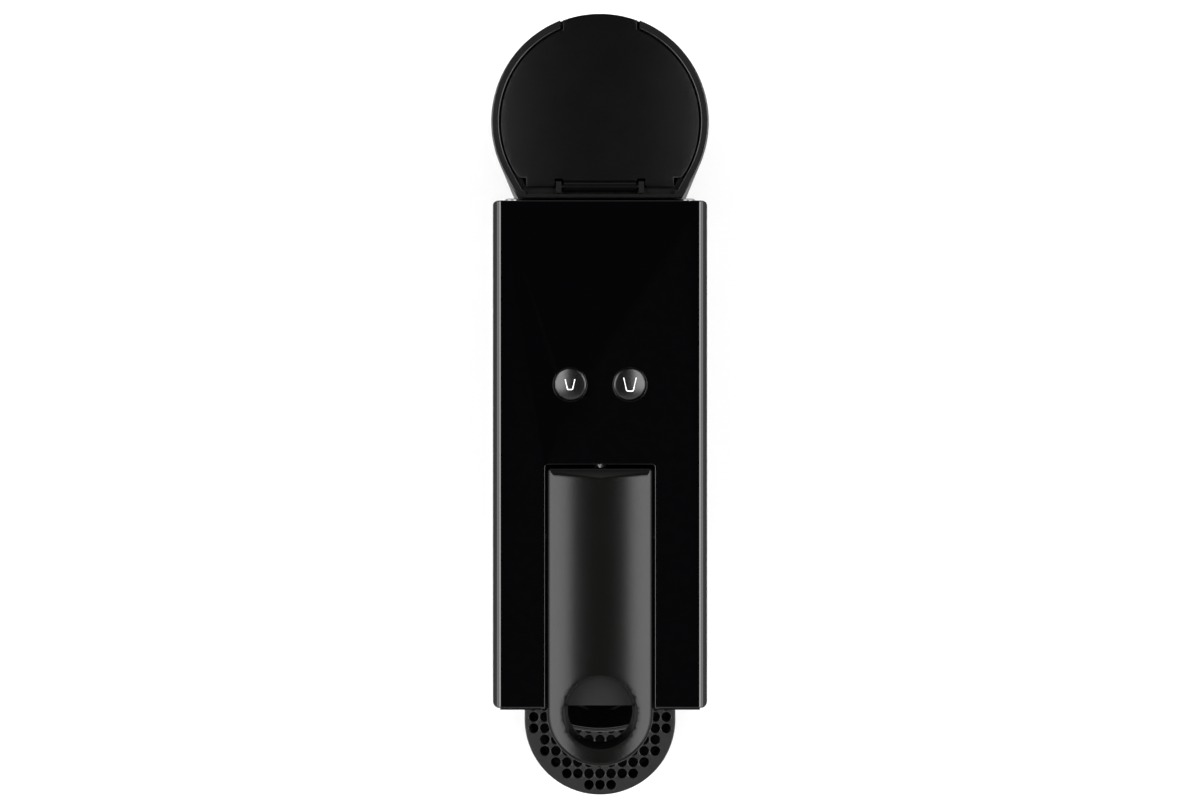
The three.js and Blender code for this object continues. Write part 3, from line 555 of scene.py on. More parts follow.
def group_node(tree, key, **values):
    """A node of a shared group, with its own input values."""
    if key not in made_groups:
        made_groups[key] = GROUPS[key]()
    node = tree.nodes.new("ShaderNodeGroup")
    node.node_tree = made_groups[key]
    for label, value in values.items():
        node.inputs[label].default_value = value
    return node


# ------------------------------------------------------------------ finishes
def mix_colour(tree, factor, dark, light):
    """A colour that goes from dark to light as factor goes from 0 to 1."""
    node = tree.nodes.new("ShaderNodeMix")
    node.data_type = "RGBA"
    tree.links.new(factor, node.inputs["Factor"])
    node.inputs["A"].default_value = (*dark, 1)
    node.inputs["B"].default_value = (*light, 1)
    return node.outputs["Result"]


def spread(tree, value, low, high):
    """A value from 0 to 1 spread over low to high."""
    node = tree.nodes.new("ShaderNodeMapRange")
    tree.links.new(value, node.inputs["Value"])
    node.inputs["To Min"].default_value = low
    node.inputs["To Max"].default_value = high
    return node.outputs["Result"]


def principled(name):
    """A new material with its node tree and its shader."""
    material = bpy.data.materials.new(name)
    material.use_nodes = True
    return material, material.node_tree, material.node_tree.nodes["Principled BSDF"]


def add_bump(tree, shader, height, strength, distance):
    bump = tree.nodes.new("ShaderNodeBump")
    bump.inputs["Strength"].default_value = strength
    bump.inputs["Distance"].default_value = distance
    tree.links.new(height, bump.inputs["Height"])
    tree.links.new(bump.outputs["Normal"], shader.inputs["Normal"])


def moulded_finish(
    name,
    tint,
    rough,
    grain=0.0,
    scale=1800.0,
    smear=0.3,
    hairline=0.3,
    wear=0.3,
    specular=0.5,
    lift=1.0,
):
    """A moulded finish: its colour lifts on worn edges and its gloss varies with handling.

    rough is the lowest and highest roughness, grain and scale are the depth and fineness of the
    mould's texture, and lift multiplies the colour.
    """
    material, tree, shader = principled(name)
    shader.inputs["Specular IOR Level"].default_value = specular
    edges = group_node(tree, "wear", Amount=wear)
    handling = group_node(tree, "handling", Smear=smear, Hairline=hairline)
    tint = tuple(channel * lift for channel in tint)
    worn = tuple(min(1.0, channel * 1.9 + 0.006) for channel in tint)
    base = mix_colour(tree, edges.outputs["Mask"], tint, worn)
    tree.links.new(base, shader.inputs["Base Color"])
    gloss = spread(tree, handling.outputs["Mask"], *rough)
    if grain:
        texture = group_node(tree, "grain", Scale=scale, Depth=grain)
        scatter = spread(tree, texture.outputs["Scatter"], -0.04, 0.04)
        gloss = maths(tree, "ADD", gloss, scatter, True)
        add_bump(tree, shader, texture.outputs["Height"], 0.35, 0.00005)
    tree.links.new(gloss, shader.inputs["Roughness"])
    return material


def metal(name, tint, rough, brush):
    """Brushed or cast metal: a low brush draws its streaks out along Y."""
    material, tree, shader = principled(name)
    shader.inputs["Metallic"].default_value = 1.0
    coordinates = tree.nodes.new("ShaderNodeTexCoord")
    stretch = tree.nodes.new("ShaderNodeMapping")
    stretch.inputs["Scale"].default_value = (1.0, brush, 1.0)
    tree.links.new(coordinates.outputs["Object"], stretch.inputs["Vector"])
    streaks = noise(tree, 1400.0, 3.0, 0.6, stretch.outputs["Vector"])
    darker = tuple(channel * 0.82 for channel in tint)
    tree.links.new(mix_colour(tree, streaks, darker, tint), shader.inputs["Base Color"])
    tree.links.new(spread(tree, streaks, rough - 0.07, rough + 0.09), shader.inputs["Roughness"])
    add_bump(tree, shader, streaks, 0.2, 0.00004)
    return material


def icon_white(name, tint):
    """The lit cup outlines: a faint mottle in their colour and their glow."""
    material, tree, shader = principled(name)
    shader.inputs["Roughness"].default_value = 0.4
    mottle = noise(tree, 2500.0, 2.0)
    dim = tuple(channel * 0.8 for channel in tint)
    glow = mix_colour(tree, mottle, dim, tint)
    tree.links.new(glow, shader.inputs["Base Color"])
    tree.links.new(glow, shader.inputs["Emission Color"])
    shader.inputs["Emission Strength"].default_value = 0.4
    return material


# Moulded finishes: a colour or the name of its setting, the lowest and highest roughness, and
# the amounts of the effects.
MOULDED = {
    "gloss_black": ("gloss", (0.055, 0.15), dict(smear=0.12, hairline=0.25, wear=0.1)),
    "button_black": ("gloss", (0.2, 0.26), dict(grain=0.15, scale=2600.0, specular=0.4, lift=1.5)),
    "satin_black": ("satin", (0.21, 0.28), dict(grain=0.6, scale=2200.0, specular=0.15)),
    "lever_charcoal": (
        "lever", (0.18, 0.24), dict(grain=0.5, scale=3000.0, smear=0.25, wear=0.2, specular=0.2)
    ),
    "tray_grey": ("tray", (0.3, 0.38), dict(grain=0.8, wear=0.15, specular=0.3)),
    "inner_black": ("inner", (0.42, 0.52), dict(grain=1.0, scale=1500.0, specular=0.2)),
    "tank_smoke": ("tank", (0.16, 0.26), dict(smear=0.2, hairline=0.4, wear=0.1)),
    "rubber": ((0.012, 0.012, 0.012), (0.78, 0.9), dict(grain=1.0, scale=1200.0, hairline=0.0)),
    "silicone": ((0.62, 0.62, 0.58), (0.4, 0.5), dict(grain=0.2, scale=900.0)),
    "white_plastic": ((0.72, 0.71, 0.67), (0.4, 0.5), dict(grain=0.3, scale=1500.0)),
    "board_green": ((0.012, 0.09, 0.035), (0.35, 0.5), dict(grain=0.5, scale=700.0)),
}

# Metals: colour, roughness, and the brush, which draws streaks out where it is low.
METALS = {
    "steel": ((0.6, 0.6, 0.61), 0.28, 0.06),
    "blued_steel": ((0.025, 0.025, 0.028), 0.42, 0.06),
    "aluminium": ((0.66, 0.67, 0.68), 0.42, 0.8),
}

made_finishes = {}


def make_finish(name):
    if name == "icon_white":
        return icon_white(name, tuple(colours().icon))
    if name in METALS:
        return metal(name, *METALS[name])
    tint, rough, amounts = MOULDED[name]
    if isinstance(tint, str):
        tint = getattr(colours(), tint)
    return moulded_finish(name, tuple(tint), rough, **amounts)


def finish(name):
    """A finish by name, made the first time that a piece asks for it."""
    if name not in made_finishes:
        made_finishes[name] = make_finish(name)
    return made_finishes[name]


# ------------------------------------------------------------------ body
def end_shift(x):
    """How far an end of the sleeve draws in at x: a slight bow, and a small corner radius."""
    half = SHELL.high.x
    corner = 2.2
    bow = 0.9 * (x / half) ** 2  # 0.9 mm at the corners
    over = max(0.0, abs(x) - (half - corner))
    return bow + corner - math.sqrt(max(0.0, corner * corner - over * over))


def sleeve_outline():
    """The sleeve's cross-section: an inverted U with round shoulders."""
    half = SHELL.high.x
    top = SHELL.high.z
    low = SHELL.low.z
    radius = sizes().shoulder / MM
    corners = [
        (half, low, 0),
        (half, top, radius),
        (-half, top, radius),
        (-half, low, 0),
        (-half + WALL, low, 0),
        (-half + WALL, top - WALL, 0.8),
        (half - WALL, top - WALL, 0.8),
        (half - WALL, low, 0),
    ]
    return rounded(corners, 14)


def cup_space_outline():
    """What the head and the column leave open in front, in y and z."""
    far = SHELL.low.y - 20
    deep = COLUMN_FRONT
    corners = [(far, -20, 0), (deep, -20, 0), (deep, HEAD_UNDER, COVE), (far, HEAD_UNDER, 0)]
    return rounded(corners, 16)


def make_sleeve():
    """The bent sleeve, open in front for the cup, with the lever's channel and button holes."""
    edge = sizes().soft_edge / MM
    top = SHELL.high.z
    below = top - 9
    profile = soft(-SHELL.high.y, -SHELL.low.y, edge, 4)
    shell = moulded("shell", [(sleeve_outline(), profile)], place=ALONG)
    middle = (SHELL.low.y + SHELL.high.y) / 2
    for vert in shell.data.vertices:
        shift = end_shift(vert.co.x / MM) * MM
        vert.co.y += shift if vert.co.y / MM < middle else -shift * 0.6
    cut(shell, moulded("cup_space", [(cup_space_outline(), [(0, -60), (0, 60)])], place=ACROSS))
    half, front, rear = CHANNEL_HALF, SHELL.low.y - 8, CHANNEL_REAR
    corners = [(half, front, 0), (half, rear, 1.2), (-half, rear, 1.2), (-half, front, 0)]
    cut(shell, moulded("channel", [(rounded(corners, 6), flared(below, top, 0.2))]))
    for size, _ in BUTTONS:
        button = Span(f"button_{size}_cup").mid
        hole = circle(button.x, button.y, BUTTON_HOLE, 64)
        cut(shell, moulded("hole", [(hole, flared(below, top, 0.12))]))
    place_piece(shell, "sleeve", "body", finish("gloss_black"), ["outer_shell"])


def make_front_panel():
    """The head's front and underside, one bent panel between the sleeve's walls."""
    half = PANEL.high.x
    front = PANEL.low.y
    low = PANEL.low.z
    top = PANEL.high.z
    under = HEAD_UNDER + 0.1
    deep = COLUMN_FRONT + 0.1
    thick = 2.3
    corners = [
        (front, top, 0),
        (front, under, 1.0),
        (deep, under, COVE + 0.1),
        (deep, low, 0),
        (deep + thick, low, 0),
        (deep + thick, under + thick, COVE + thick - 0.2),
        (front + thick, under + thick, 0.3),
        (front + thick, top, 0),
    ]
    profile = soft(-half, half, 0.15, 2)
    panel = moulded("front", [(rounded(corners, 12), profile)], place=ACROSS)
    notch = CHANNEL.high.x + 0.3
    deck = CHANNEL.low.z + 14.4
    cut(panel, block(-notch, notch, front - 3, front + 5, deck, top + 2))
    pipe_low, pipe_high = 126, 147
    cut(panel, block(-6, 6, front - 3, front + 5, pipe_low, pipe_high, 2))
    place_piece(panel, "head_front", "body", finish("satin_black"), ["front_panel"])


def make_nose():
    """The outlet's cover: bowed in plan, its top falling forward over a round lip."""
    half = NOSE.high.x
    rear = NOSE.high.y
    front = NOSE.low.y
    low = NOSE.low.z
    top = NOSE.high.z
    bow = 46.0
    corner = 4.2
    bow_y = front + bow
    corner_y = bow_y - math.sqrt((bow - corner) ** 2 - (half - corner) ** 2)
    turn = math.degrees(math.atan2(bow_y - corner_y, half - corner))
    outline = arc(corner - half, corner_y, corner, 180, 180 + turn, 8)
    outline += arc(0, bow_y, bow, 180 + turn, 360 - turn, 30)[1:-1]
    outline += arc(half - corner, corner_y, corner, 360 - turn, 360, 8)
    outline += [Vector((half, rear)), Vector((-half, rear))]
    fall = 0.6 / (rear - front)

    def lift(x, y, z):
        return z - (rear - y) * fall if z > top - 12 else z

    nose = moulded("nose", [(outline, soft(low, top, 1.8, 8, 0.8))], 2.0, lift)
    inner = inset_by(anticlockwise(outline), 2.2)
    spout_y, spout_radius = -113, 4.6
    spout = circle(0, spout_y, spout_radius, 40)
    cut(
        nose,
        moulded("room", [(inner, [(0, low + 2.2), (0, top - 7.5)])]),
        block(-half + 3, half - 3, rear - 4, rear + 2, low + 4, top - 8, 0.5),
        moulded("spout", [(spout, [(0, low - 2), (0, low + 8)])]),
    )
    place_piece(nose, "outlet_cover", "body", finish("gloss_black"), ["outlet_nose"])


def make_base():
    """The base plate with the round seat that carries the tank."""
    top = BASE.high.z
    low = BASE.low.z
    half = BASE.high.x
    rear = SHELL.high.y - 0.3
    plan = circle(0, TANK_Y, TANK_RADIUS - 4, 96)
    seat = moulded("seat", [(plan, soft(low, top, 1.2, 5, 0.6))])
    neck = block(-26, 26, SHELL.high.y - 2, TANK_Y, low, top)
    floor_plate = block(-half, half, BASE.low.y, rear, low, low + 3)
    back_wall = block(-half, half, SHELL.high.y - 2.8, rear, low, TANK.low.z - 0.3)
    join(seat, neck, floor_plate, back_wall)
    gland = Span("cable_gland").mid
    hose_duct = block(-3.4, 3.4, TANK_Y - TANK_RADIUS, TANK_Y, 5.6, 12.4)
    socket = moulded("socket", [(circle(0, TANK_Y, 8.9, 48), [(0, 5), (0, top + 2)])])
    gland_hole = rod_along(gland.x, SHELL.high.y - 5, SHELL.high.y + 2, gland.z, 4.0)
    cut(seat, hose_duct, socket, gland_hole)
    place_piece(seat, "base_and_seat", "body", finish("satin_black"), ["base_plate"])


def make_feet():
    """Four round rubber feet, dished underneath."""
    for end in ("front", "rear"):
        for name, _ in SIDES:
            node = f"foot_{end}_{name}"
            span = Span(node)
            x, y, radius = span.mid.x, span.mid.y, span.size.x / 2
            foot = moulded("foot", [(circle(x, y, radius, 40), soft(0, span.high.z, 0.3, 3, 0.7))])
            cut(foot, moulded("dish", [(circle(x, y, radius - 3, 32), [(0, -1), (0, 0.6)])]))
            place_piece(foot, f"rubber_{node}", "body", finish("rubber"), [node])


def make_screws():
    """Pan heads with a cross recess, at the back and underneath."""
    steel = finish("steel")
    for number in range(1, 5):
        node = f"panel_screw_{number}"
        span = Span(node)
        x, face, z = span.mid.x, span.high.y, span.mid.z
        profile = soft(-face, -face + 1.1, 0.1, 3, 0.7)
        head = moulded("head", [(circle(x, z, span.size.x / 2, 32), profile)], place=ALONG)
        for wide, tall in CROSS:
            cut(head, block(x - wide, x + wide, face - 0.7, face + 1, z - tall, z + tall))
        place_piece(head, f"back_screw_{number}", "body", steel, [node])

        node = f"base_screw_{number}"
        span = Span(node)
        x, y, low = span.mid.x, span.mid.y, span.low.z
        profile = soft(low, low + 1.3, 0.1, 3, 0.6)
        head = moulded("head", [(circle(x, y, span.size.y / 2, 32), profile)])
        for wide, tall in CROSS:
            cut(head, block(x - wide, x + wide, y - tall, y + tall, low - 1, low + 0.7))
        place_piece(head, f"under_screw_{number}", "body", steel, [node])


def make_gland():
    """The rubber ring where a cord would leave the machine."""
    span = Span("cable_gland")
    x, z = span.mid.x, span.mid.z
    radius = span.size.x / 2
    face = -SHELL.high.y
    bore = circle(x, z, 3.2, 32)
    loops = [
        (circle(x, z, radius, 40), soft(-span.high.y, face, 0.2, 4, 0.6)),
        (bore, soft(-span.high.y, face, 0.1, 4, 0.4)),
    ]
    gland = moulded("gland", loops, place=ALONG)
    sides = [(0, face - 0.5), (0, -span.low.y)]
    rim = circle(x, z, radius - 0.7, 40)
    join(gland, moulded("shank", [(rim, sides), (bore, sides)], place=ALONG))
    place_piece(gland, "cord_gland", "body", finish("rubber"), ["cable_gland"])


def make_rear_panel():
    """The back panel with its vents and screw holes."""
    span = Span("rear_panel")
    half = span.high.x
    low, high = -span.high.y, -span.low.y
    loops = [(rectangle(-half, half, span.low.z, span.high.z, 0.6), soft(low, high, 0.3, 3))]
    lowest_vent = 151.2
    for row in range(5):
        z = lowest_vent + row * 6
        loops.append((rectangle(-22, 22, z - 1.2, z + 1.2, 1.15, 8), soft(low, high, 0.2, 2)))
    for number in range(1, 5):
        screw = Span(f"panel_screw_{number}").mid
        loops.append((circle(screw.x, screw.z, 1.8, 24), soft(low, high, 0.15, 2)))
    panel = moulded("back", loops, place=ALONG)
    place_piece(panel, "back_panel", "body", finish("inner_black"), ["rear_panel"])


# ------------------------------------------------------------------ lever and buttons
def lever_outline(inset):
    """The lever's plan: a half circle round the finger ring and two rear corners."""
    half = LEVER.high.x - inset
    rear = LEVER.high.y - inset
    corner = max(0.5, 1.5 - inset)
    front = arc(0, RING_Y, half, 180, 360, 72)
    back = arc(half - corner, rear - corner, corner, 0, 90, 8)
    back += arc(-half + corner, rear - corner, corner, 90, 180, 8)
    return front + back


def make_lever():
    """Crowned skin with a tapered finger ring, hollow underneath, bosses on the axle."""
    top = LEVER.high.z
    foot = LEVER.low.z
    half = LEVER.high.x
    crown = sizes().lever_crown / MM
    radius = (half * half + crown * crown) / (2 * crown)

    def lift(x, y, z):
        if z < foot + 3:
            return z
        return z - (radius - math.sqrt(radius * radius - min(x * x, half * half)))

    draft = [(0.6, foot), (0.18, foot + 0.18), (0.0, foot + 0.7)]
    for step in range(1, 6):
        draft.append((0.3 * step, foot + 0.7 + (top - foot - 1.3) * step / 5))
    for turn in (0.5, 1.0, math.pi / 2):
        draft.append((1.5 + 0.6 * (1 - math.cos(turn)), top - 0.6 + 0.6 * math.sin(turn)))
    skin = (lever_outline(0), soft(foot, top, 1.3, 6, 0.3))
    ring = (circle(0, RING_Y, FINGER_HOLE, 96), draft)
    lever = moulded("lever_skin", [skin, ring], 1.6, lift)
    wall = 2.0
    room_front = RING_Y + 13.8 + 3
    room = rectangle(-half + wall, half - wall, room_front, LEVER.high.y - wall, 1.0, 4)
    cut(lever, moulded("room", [(room, [(0, foot - 2), (0, top - 4.4)])]))
    pivot = Span("lever_axle").mid
    for _, side in SIDES:
        near, far = sorted((side * 15, side * (half - 1)))
        join(lever, block(near, far, pivot.y - 4, pivot.y + 4, foot + 2, top - 3.4))
    for rib_y in (-84.0, -70.0, -56.0):
        join(lever, block(-half + 1.5, half - 1.5, rib_y, rib_y + 1.2, top - 7.5, top - 4.2))
    cut(lever, rod_across(-half - 2, half + 2, pivot.y, pivot.z, 1.8))
    place_piece(lever, "lever_skin", "lever", finish("lever_charcoal"), ["lever"])


def cup_icon(width, height, stroke):
    """An open cup seen from the side, drawn as one stroke: wide at the lip, rounded below."""
    lip = width / 2
    foot = width * 0.27
    corner = width * 0.16
    top = height / 2
    inner_foot = foot - stroke * 0.9
    return rounded(
        [
            (-lip, top, 0),
            (-foot, -top, corner),
            (foot, -top, corner),
            (lip, top, 0),
            (lip - stroke, top, 0),
            (inner_foot, -top + stroke, corner * 0.6),
            (-inner_foot, -top + stroke, corner * 0.6),
            (-lip + stroke, top, 0),
        ],
        6,
    )


def make_buttons():
    """Two glossy caps. Each falls away from its upper inner edge and carries a lit icon."""
    icon_sizes = {"small": (4.1, 4.1), "large": (5.2, 5.3)}
    stroke = 0.37
    top = SHELL.high.z + 0.15
    for size, side in BUTTONS:
        node = f"button_{size}_cup"
        span = Span(node)
        x, y = span.mid.x, span.mid.y
        high = Vector((x - side * 3.0, y + 4.6))

        def lift(px, py, pz, high=high):
            if pz < top - 2.8:
                return pz
            away = (Vector((px, py)) - high).length
            return pz - 0.012 * away * away

        def follow(px, py, pz, lift=lift):
            return lift(px, py, top) + (pz - top)

        face = (circle(x, y, BUTTON_CAP, 72), soft(top - 3.2, top, 0.1, 2, 0.05))
        flange = (circle(x, y, 7.3, 48), [(0, 194.4), (0, 197.0)])
        stem = (circle(x, y, 2.4, 24), [(0, span.low.z), (0, 194.6)])
        button = moulded("cap", [face], 0.6, lift)
        join(button, moulded("flange", [flange]), moulded("stem", [stem]))
        body = f"{size}_cup_button"
        place_piece(button, f"{size}_cap", body, finish("button_black"), [node])
        outline = [Vector((p.x + x, p.y + y)) for p in cup_icon(*icon_sizes[size], stroke)]
        profile = [(0, top - 0.25), (0, top + 0.01), (0.03, top + 0.03)]
        icon = moulded("icon", [(outline, profile)], 0.4, follow)
        place_piece(icon, f"{size}_icon", body, finish("icon_white"))


# ------------------------------------------------------------------ tank
def tank_outline(inset, steps=120):
    """The tank's plan: round, with tangents that narrow to a neck."""
    radius = TANK_RADIUS - inset
    touch_x = radius * math.cos(TANK_TANGENT)
    touch_y = TANK_Y - radius * math.sin(TANK_TANGENT)
    neck_y = TANK.low.y + inset
    neck_x = touch_x - (touch_y - neck_y) * math.tan(TANK_TANGENT)
    degrees = math.degrees(TANK_TANGENT)
    outline = [Vector((-neck_x, neck_y)), Vector((neck_x, neck_y))]
    return outline + arc(0, TANK_Y, radius, -degrees, 180 + degrees, steps)


def make_tank():
    """The thin-walled tank, with a ledge for its lid, ears for the lid's pin and a valve hole."""
    top = TANK.high.z
    low = TANK.low.z
    front = TANK.low.y
    tank = moulded("tank", [(tank_outline(0), soft(low, top, 0.5, 4, 2.0))])
    ledge = LID.low.z - 0.3
    seat = [(0.8 + inset, height) for inset, height in flared(ledge, top, 0.35)]
    room = [(1.5, low + 2.5), (0, low + 4), (0, top - 10), (2.8, top - 7.5), (2.8, ledge), *seat]
    tab_notch = block(-15.3, 15.3, TANK_Y + 30, TANK_Y + 50, ledge, top + 2)
    barrel_room = block(-14.4, 14.4, front + 1.5, front + 8, ledge - 2.2, top + 2)
    hinge_room = block(-28.9, 28.9, front + 1.5, front + 5, ledge, top + 2)
    cut(tank, moulded("room", [(tank_outline(2.2), room)]), tab_notch, barrel_room, hinge_room)
    ears = []
    for _, side in SIDES:
        near, far = sorted((side * 14.9, side * 17))
        ears.append(block(near, far, front + 2, HINGE.y + 1.8, top - 10, top))
    join(tank, moulded("lump", [(circle(0, TANK_Y, 13.5, 48), [(0, low + 2), (0, 20.5)])]), *ears)
    cut(
        tank,
        moulded("recess", [(circle(0, TANK_Y, 11, 40), [(0, low - 2), (0, 18)])]),
        moulded("valve_hole", [(circle(0, TANK_Y, 3.2, 24), [(0, low), (0, 22)])]),
        rod_across(-18, 18, HINGE.y, HINGE.z, 1.3),
    )
    place_piece(tank, "tank", "tank", finish("tank_smoke"), ["water_tank"])


def make_valve_spring():
    """A coil of steel wire between the valve and its bridge, with a mesh of its own."""
    span = Span("valve_spring")
    wire = 0.28
    coil = span.size.x / 2 - wire
    sides = 8
    steps_per_turn = 24
    steps = int(4.5 * steps_per_turn)
    low = span.low.z + wire
    rise = (span.size.z - 2 * wire) / steps
    mesh = bmesh.new()
    rings = []
    for step in range(steps + 1):
        angle = 2 * math.pi * step / steps_per_turn
        out = Vector((math.cos(angle), math.sin(angle), 0))
        centre = Vector((span.mid.x, span.mid.y, low + step * rise)) + out * coil
        ring = []
        for side in range(sides):
            turn = 2 * math.pi * side / sides
            across, up = wire * math.cos(turn), wire * math.sin(turn)
            ring.append(mesh.verts.new((centre + out * across + Vector((0, 0, up))) * MM))
        rings.append(ring)
    for lower, upper in zip(rings, rings[1:]):
        for side in range(sides):
            nearby = (side + 1) % sides
            mesh.faces.new((lower[side], lower[nearby], upper[nearby], upper[side]))
    mesh.faces.new(rings[0][::-1])
    mesh.faces.new(rings[-1])
    bmesh.ops.recalc_face_normals(mesh, faces=mesh.faces)
    spring = new_object("coil", mesh)
    place_piece(spring, "valve_coil", "tank", finish("steel"), ["valve_spring"])
    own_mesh(spring)


def make_lid():
    """A satin lid inside the tank's rim, with a lifting tab and a hinge barrel."""
    top = LID.high.z - 0.3
    low = LID.low.z + 0.1
    crown = sizes().lid_crown / MM
    shoulder = 28.6
    half_at_trim = 31.4
    clip_y = HINGE.y - 0.4
    trim_y = HINGE.y + 3.2
    tab_radius = TANK_RADIUS - 0.3
    rim_radius = TANK_RADIUS - 3.5
    tab_angle = math.degrees(math.acos(LID_TAB / tab_radius))
    rim_angle = math.degrees(math.acos(LID_TAB / rim_radius))
    tangent = math.degrees(TANK_TANGENT)
    plan = [Vector((-shoulder, clip_y)), Vector((shoulder, clip_y))]
    plan += [Vector((shoulder, trim_y)), Vector((half_at_trim, trim_y))]
    plan += arc(0, TANK_Y, rim_radius, -tangent, rim_angle, 50)
    plan += arc(0, TANK_Y, tab_radius, tab_angle, 180 - tab_angle, 20)
    plan += arc(0, TANK_Y, rim_radius, 180 - rim_angle, 180 + tangent, 50)
    plan += [Vector((-half_at_trim, trim_y)), Vector((-shoulder, trim_y))]

    def lift(x, y, z):
        return z if z < low + 1.5 else z - crown * (x / TANK_RADIUS) ** 2

    lid = moulded("lid", [(plan, soft(low, top, 0.45, 4, 0.2))], 2.4, lift)
    for _, side in SIDES:
        near, far = sorted((side * 14.4, side * 17.5))
        cut(lid, block(near, far, HINGE.y - 6, HINGE.y + 3, low - 4, top + 4))
    cut(lid, block(-14.4, 14.4, HINGE.y - 3, HINGE.y + 2.3, low - 4, top + 4))
    web = block(-14, 14, HINGE.y, HINGE.y + 3.2, low, top - 1.4)
    barrel = rod_across(-14, 14, HINGE.y, HINGE.z, 2.0, 40)
    join(lid, web, barrel)
    cut(lid, rod_across(-18, 18, HINGE.y, HINGE.z, 1.2))
    place_piece(lid, "lid", "lid", finish("satin_black"), ["tank_lid"])


# ------------------------------------------------------------------ drip drawer
def tray_outline(inset, rear, steps=80):
    """The tray's plan: a half circle in front, straight sides back to rear."""
    radius = TRAY_RADIUS - inset
    outline = arc(0, TRAY_Y, radius, 180, 360, steps)
    return outline + [Vector((radius, rear)), Vector((-radius, rear))]


def make_drip_base():
    """The half-round basin and the runner behind it, which carries the bin."""
    rim = GRID.low.z - 0.3
    back = GRID.high.y + 0.6
    low = TRAY.low.z
    over = TRAY.high.z + 2
    half = 31.0
    basin = moulded("basin", [(tray_outline(0, back), soft(low, rim, 0.4, 4, 2.2))])
    runner = rectangle(-half, half, back - 4, TRAY.high.y, 1.0)
    join(basin, moulded("runner", [(runner, soft(6.7, TRAY.high.z, 0.4, 3, 0.8))]))
    room = [(1.5, low + 2), (0, low + 3.5), (0, rim + 2)]
    cut(
        basin,
        block(-half - 2, half + 2, back - 10, back + 0.1, rim, over),
        moulded("room", [(tray_outline(2, back - 2), room)]),
        block(-half + 2, half - 2, back - 8, TRAY.high.y - 2, 8.7, over),
    )
    place_piece(basin, "tray", "drawer", finish("satin_black"), ["drip_base"])


def make_drip_grid():
    """The half-round plate with its square grid of drain holes."""
    pitch_x, pitch_y = 4.86, 4.98
    reach = 29.9
    radius = sizes().hole_radius / MM
    back = GRID.high.y
    low, top = GRID.low.z, GRID.high.z
    loops = [(tray_outline(0, back), soft(low, top, 0.5, 4, 0.4))]
    first = TRAY_Y - 28.85
    row = 0
    while first + row * pitch_y < back - 3.4:
        y = first + row * pitch_y
        for column in range(-6, 7):
            x = column * pitch_x
            if y >= TRAY_Y or math.hypot(x, y - TRAY_Y) <= reach:
                loops.append((circle(x, y, radius, 22), soft(low, top, 0.1, 2, 0.05)))
        row += 1
    grid = moulded("plate", loops)
    place_piece(grid, "grid", "grid", finish("tray_grey"), ["drip_grid"])


def make_bin():
    """The capsule bin: its face closes the column below the head."""
    half = 31.0
    width = BIN.high.x
    top = BIN.high.z
    low = BIN.low.z
    front = BIN.low.y
    rear = BIN.high.y
    sides = rectangle(-half, half, front + 1, rear, 3.0, 8)
    tub = moulded("tub", [(sides, soft(low, top - 4, 0.4, 3, 1.5))])
    face = rectangle(-width, width, low, top, 0.8)
    join(tub, moulded("face", [(face, soft(-front - 2.4, -front, 0.6, 4, 0.2))], place=ALONG))
    room = rectangle(-half + 1.8, half - 1.8, front + 2.4, rear - 1.8, 1.6)
    finger_grip = rounded(
        [(-16, low - 3, 0), (16, low - 3, 0), (13, low + 5.5, 5), (-13, low + 5.5, 5)], 10
    )
    grip_profile = [(0, -front - 1.1), (-0.8, -front + 1)]
    cut(
        tub,
        moulded("room", [(room, [(0, low + 1.8), (0, top + 2)])]),
        moulded("scoop", [(finger_grip, grip_profile)], place=ALONG),
    )
    place_piece(tub, "bin", "bin", finish("satin_black"), ["capsule_bin"])


# ------------------------------------------------------------------ the pieces kept from the frame
# Each finish and the frame nodes that wear it.
KEPT = {
    "inner_black": ["lever_channel", "brew_frame", "outlet_tube"],
    "satin_black": ["button_switch_small", "button_switch_large", "tank_connector", "valve_bridge"],
    "steel": ["idler_pin_left", "idler_pin_right", "brew_cage", "extraction_plate", "pump"],
    "blued_steel": ["lid_pin", "lever_axle", "lever_gear_left", "lever_gear_right"],
    "aluminium": ["heater_block", "pump_bracket"],
    "rubber": ["pump_mount_lower", "pump_mount_upper", "tank_valve", "connector_seal"],
    "silicone": ["hose_tank_to_meter", "hose_meter_to_pump", "hose_pump_to_heater"],
    "white_plastic": ["idler_gear_left", "idler_gear_right", "flow_meter", "flow_rotor"],
    "board_green": ["button_board", "control_board"],
}


def dress_frame():
    """Gives the frame's visible nodes their finishes."""
    for name, nodes in KEPT.items():
        for node in nodes:
            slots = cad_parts[node].data.materials
            slots.clear()
            slots.append(finish(name))


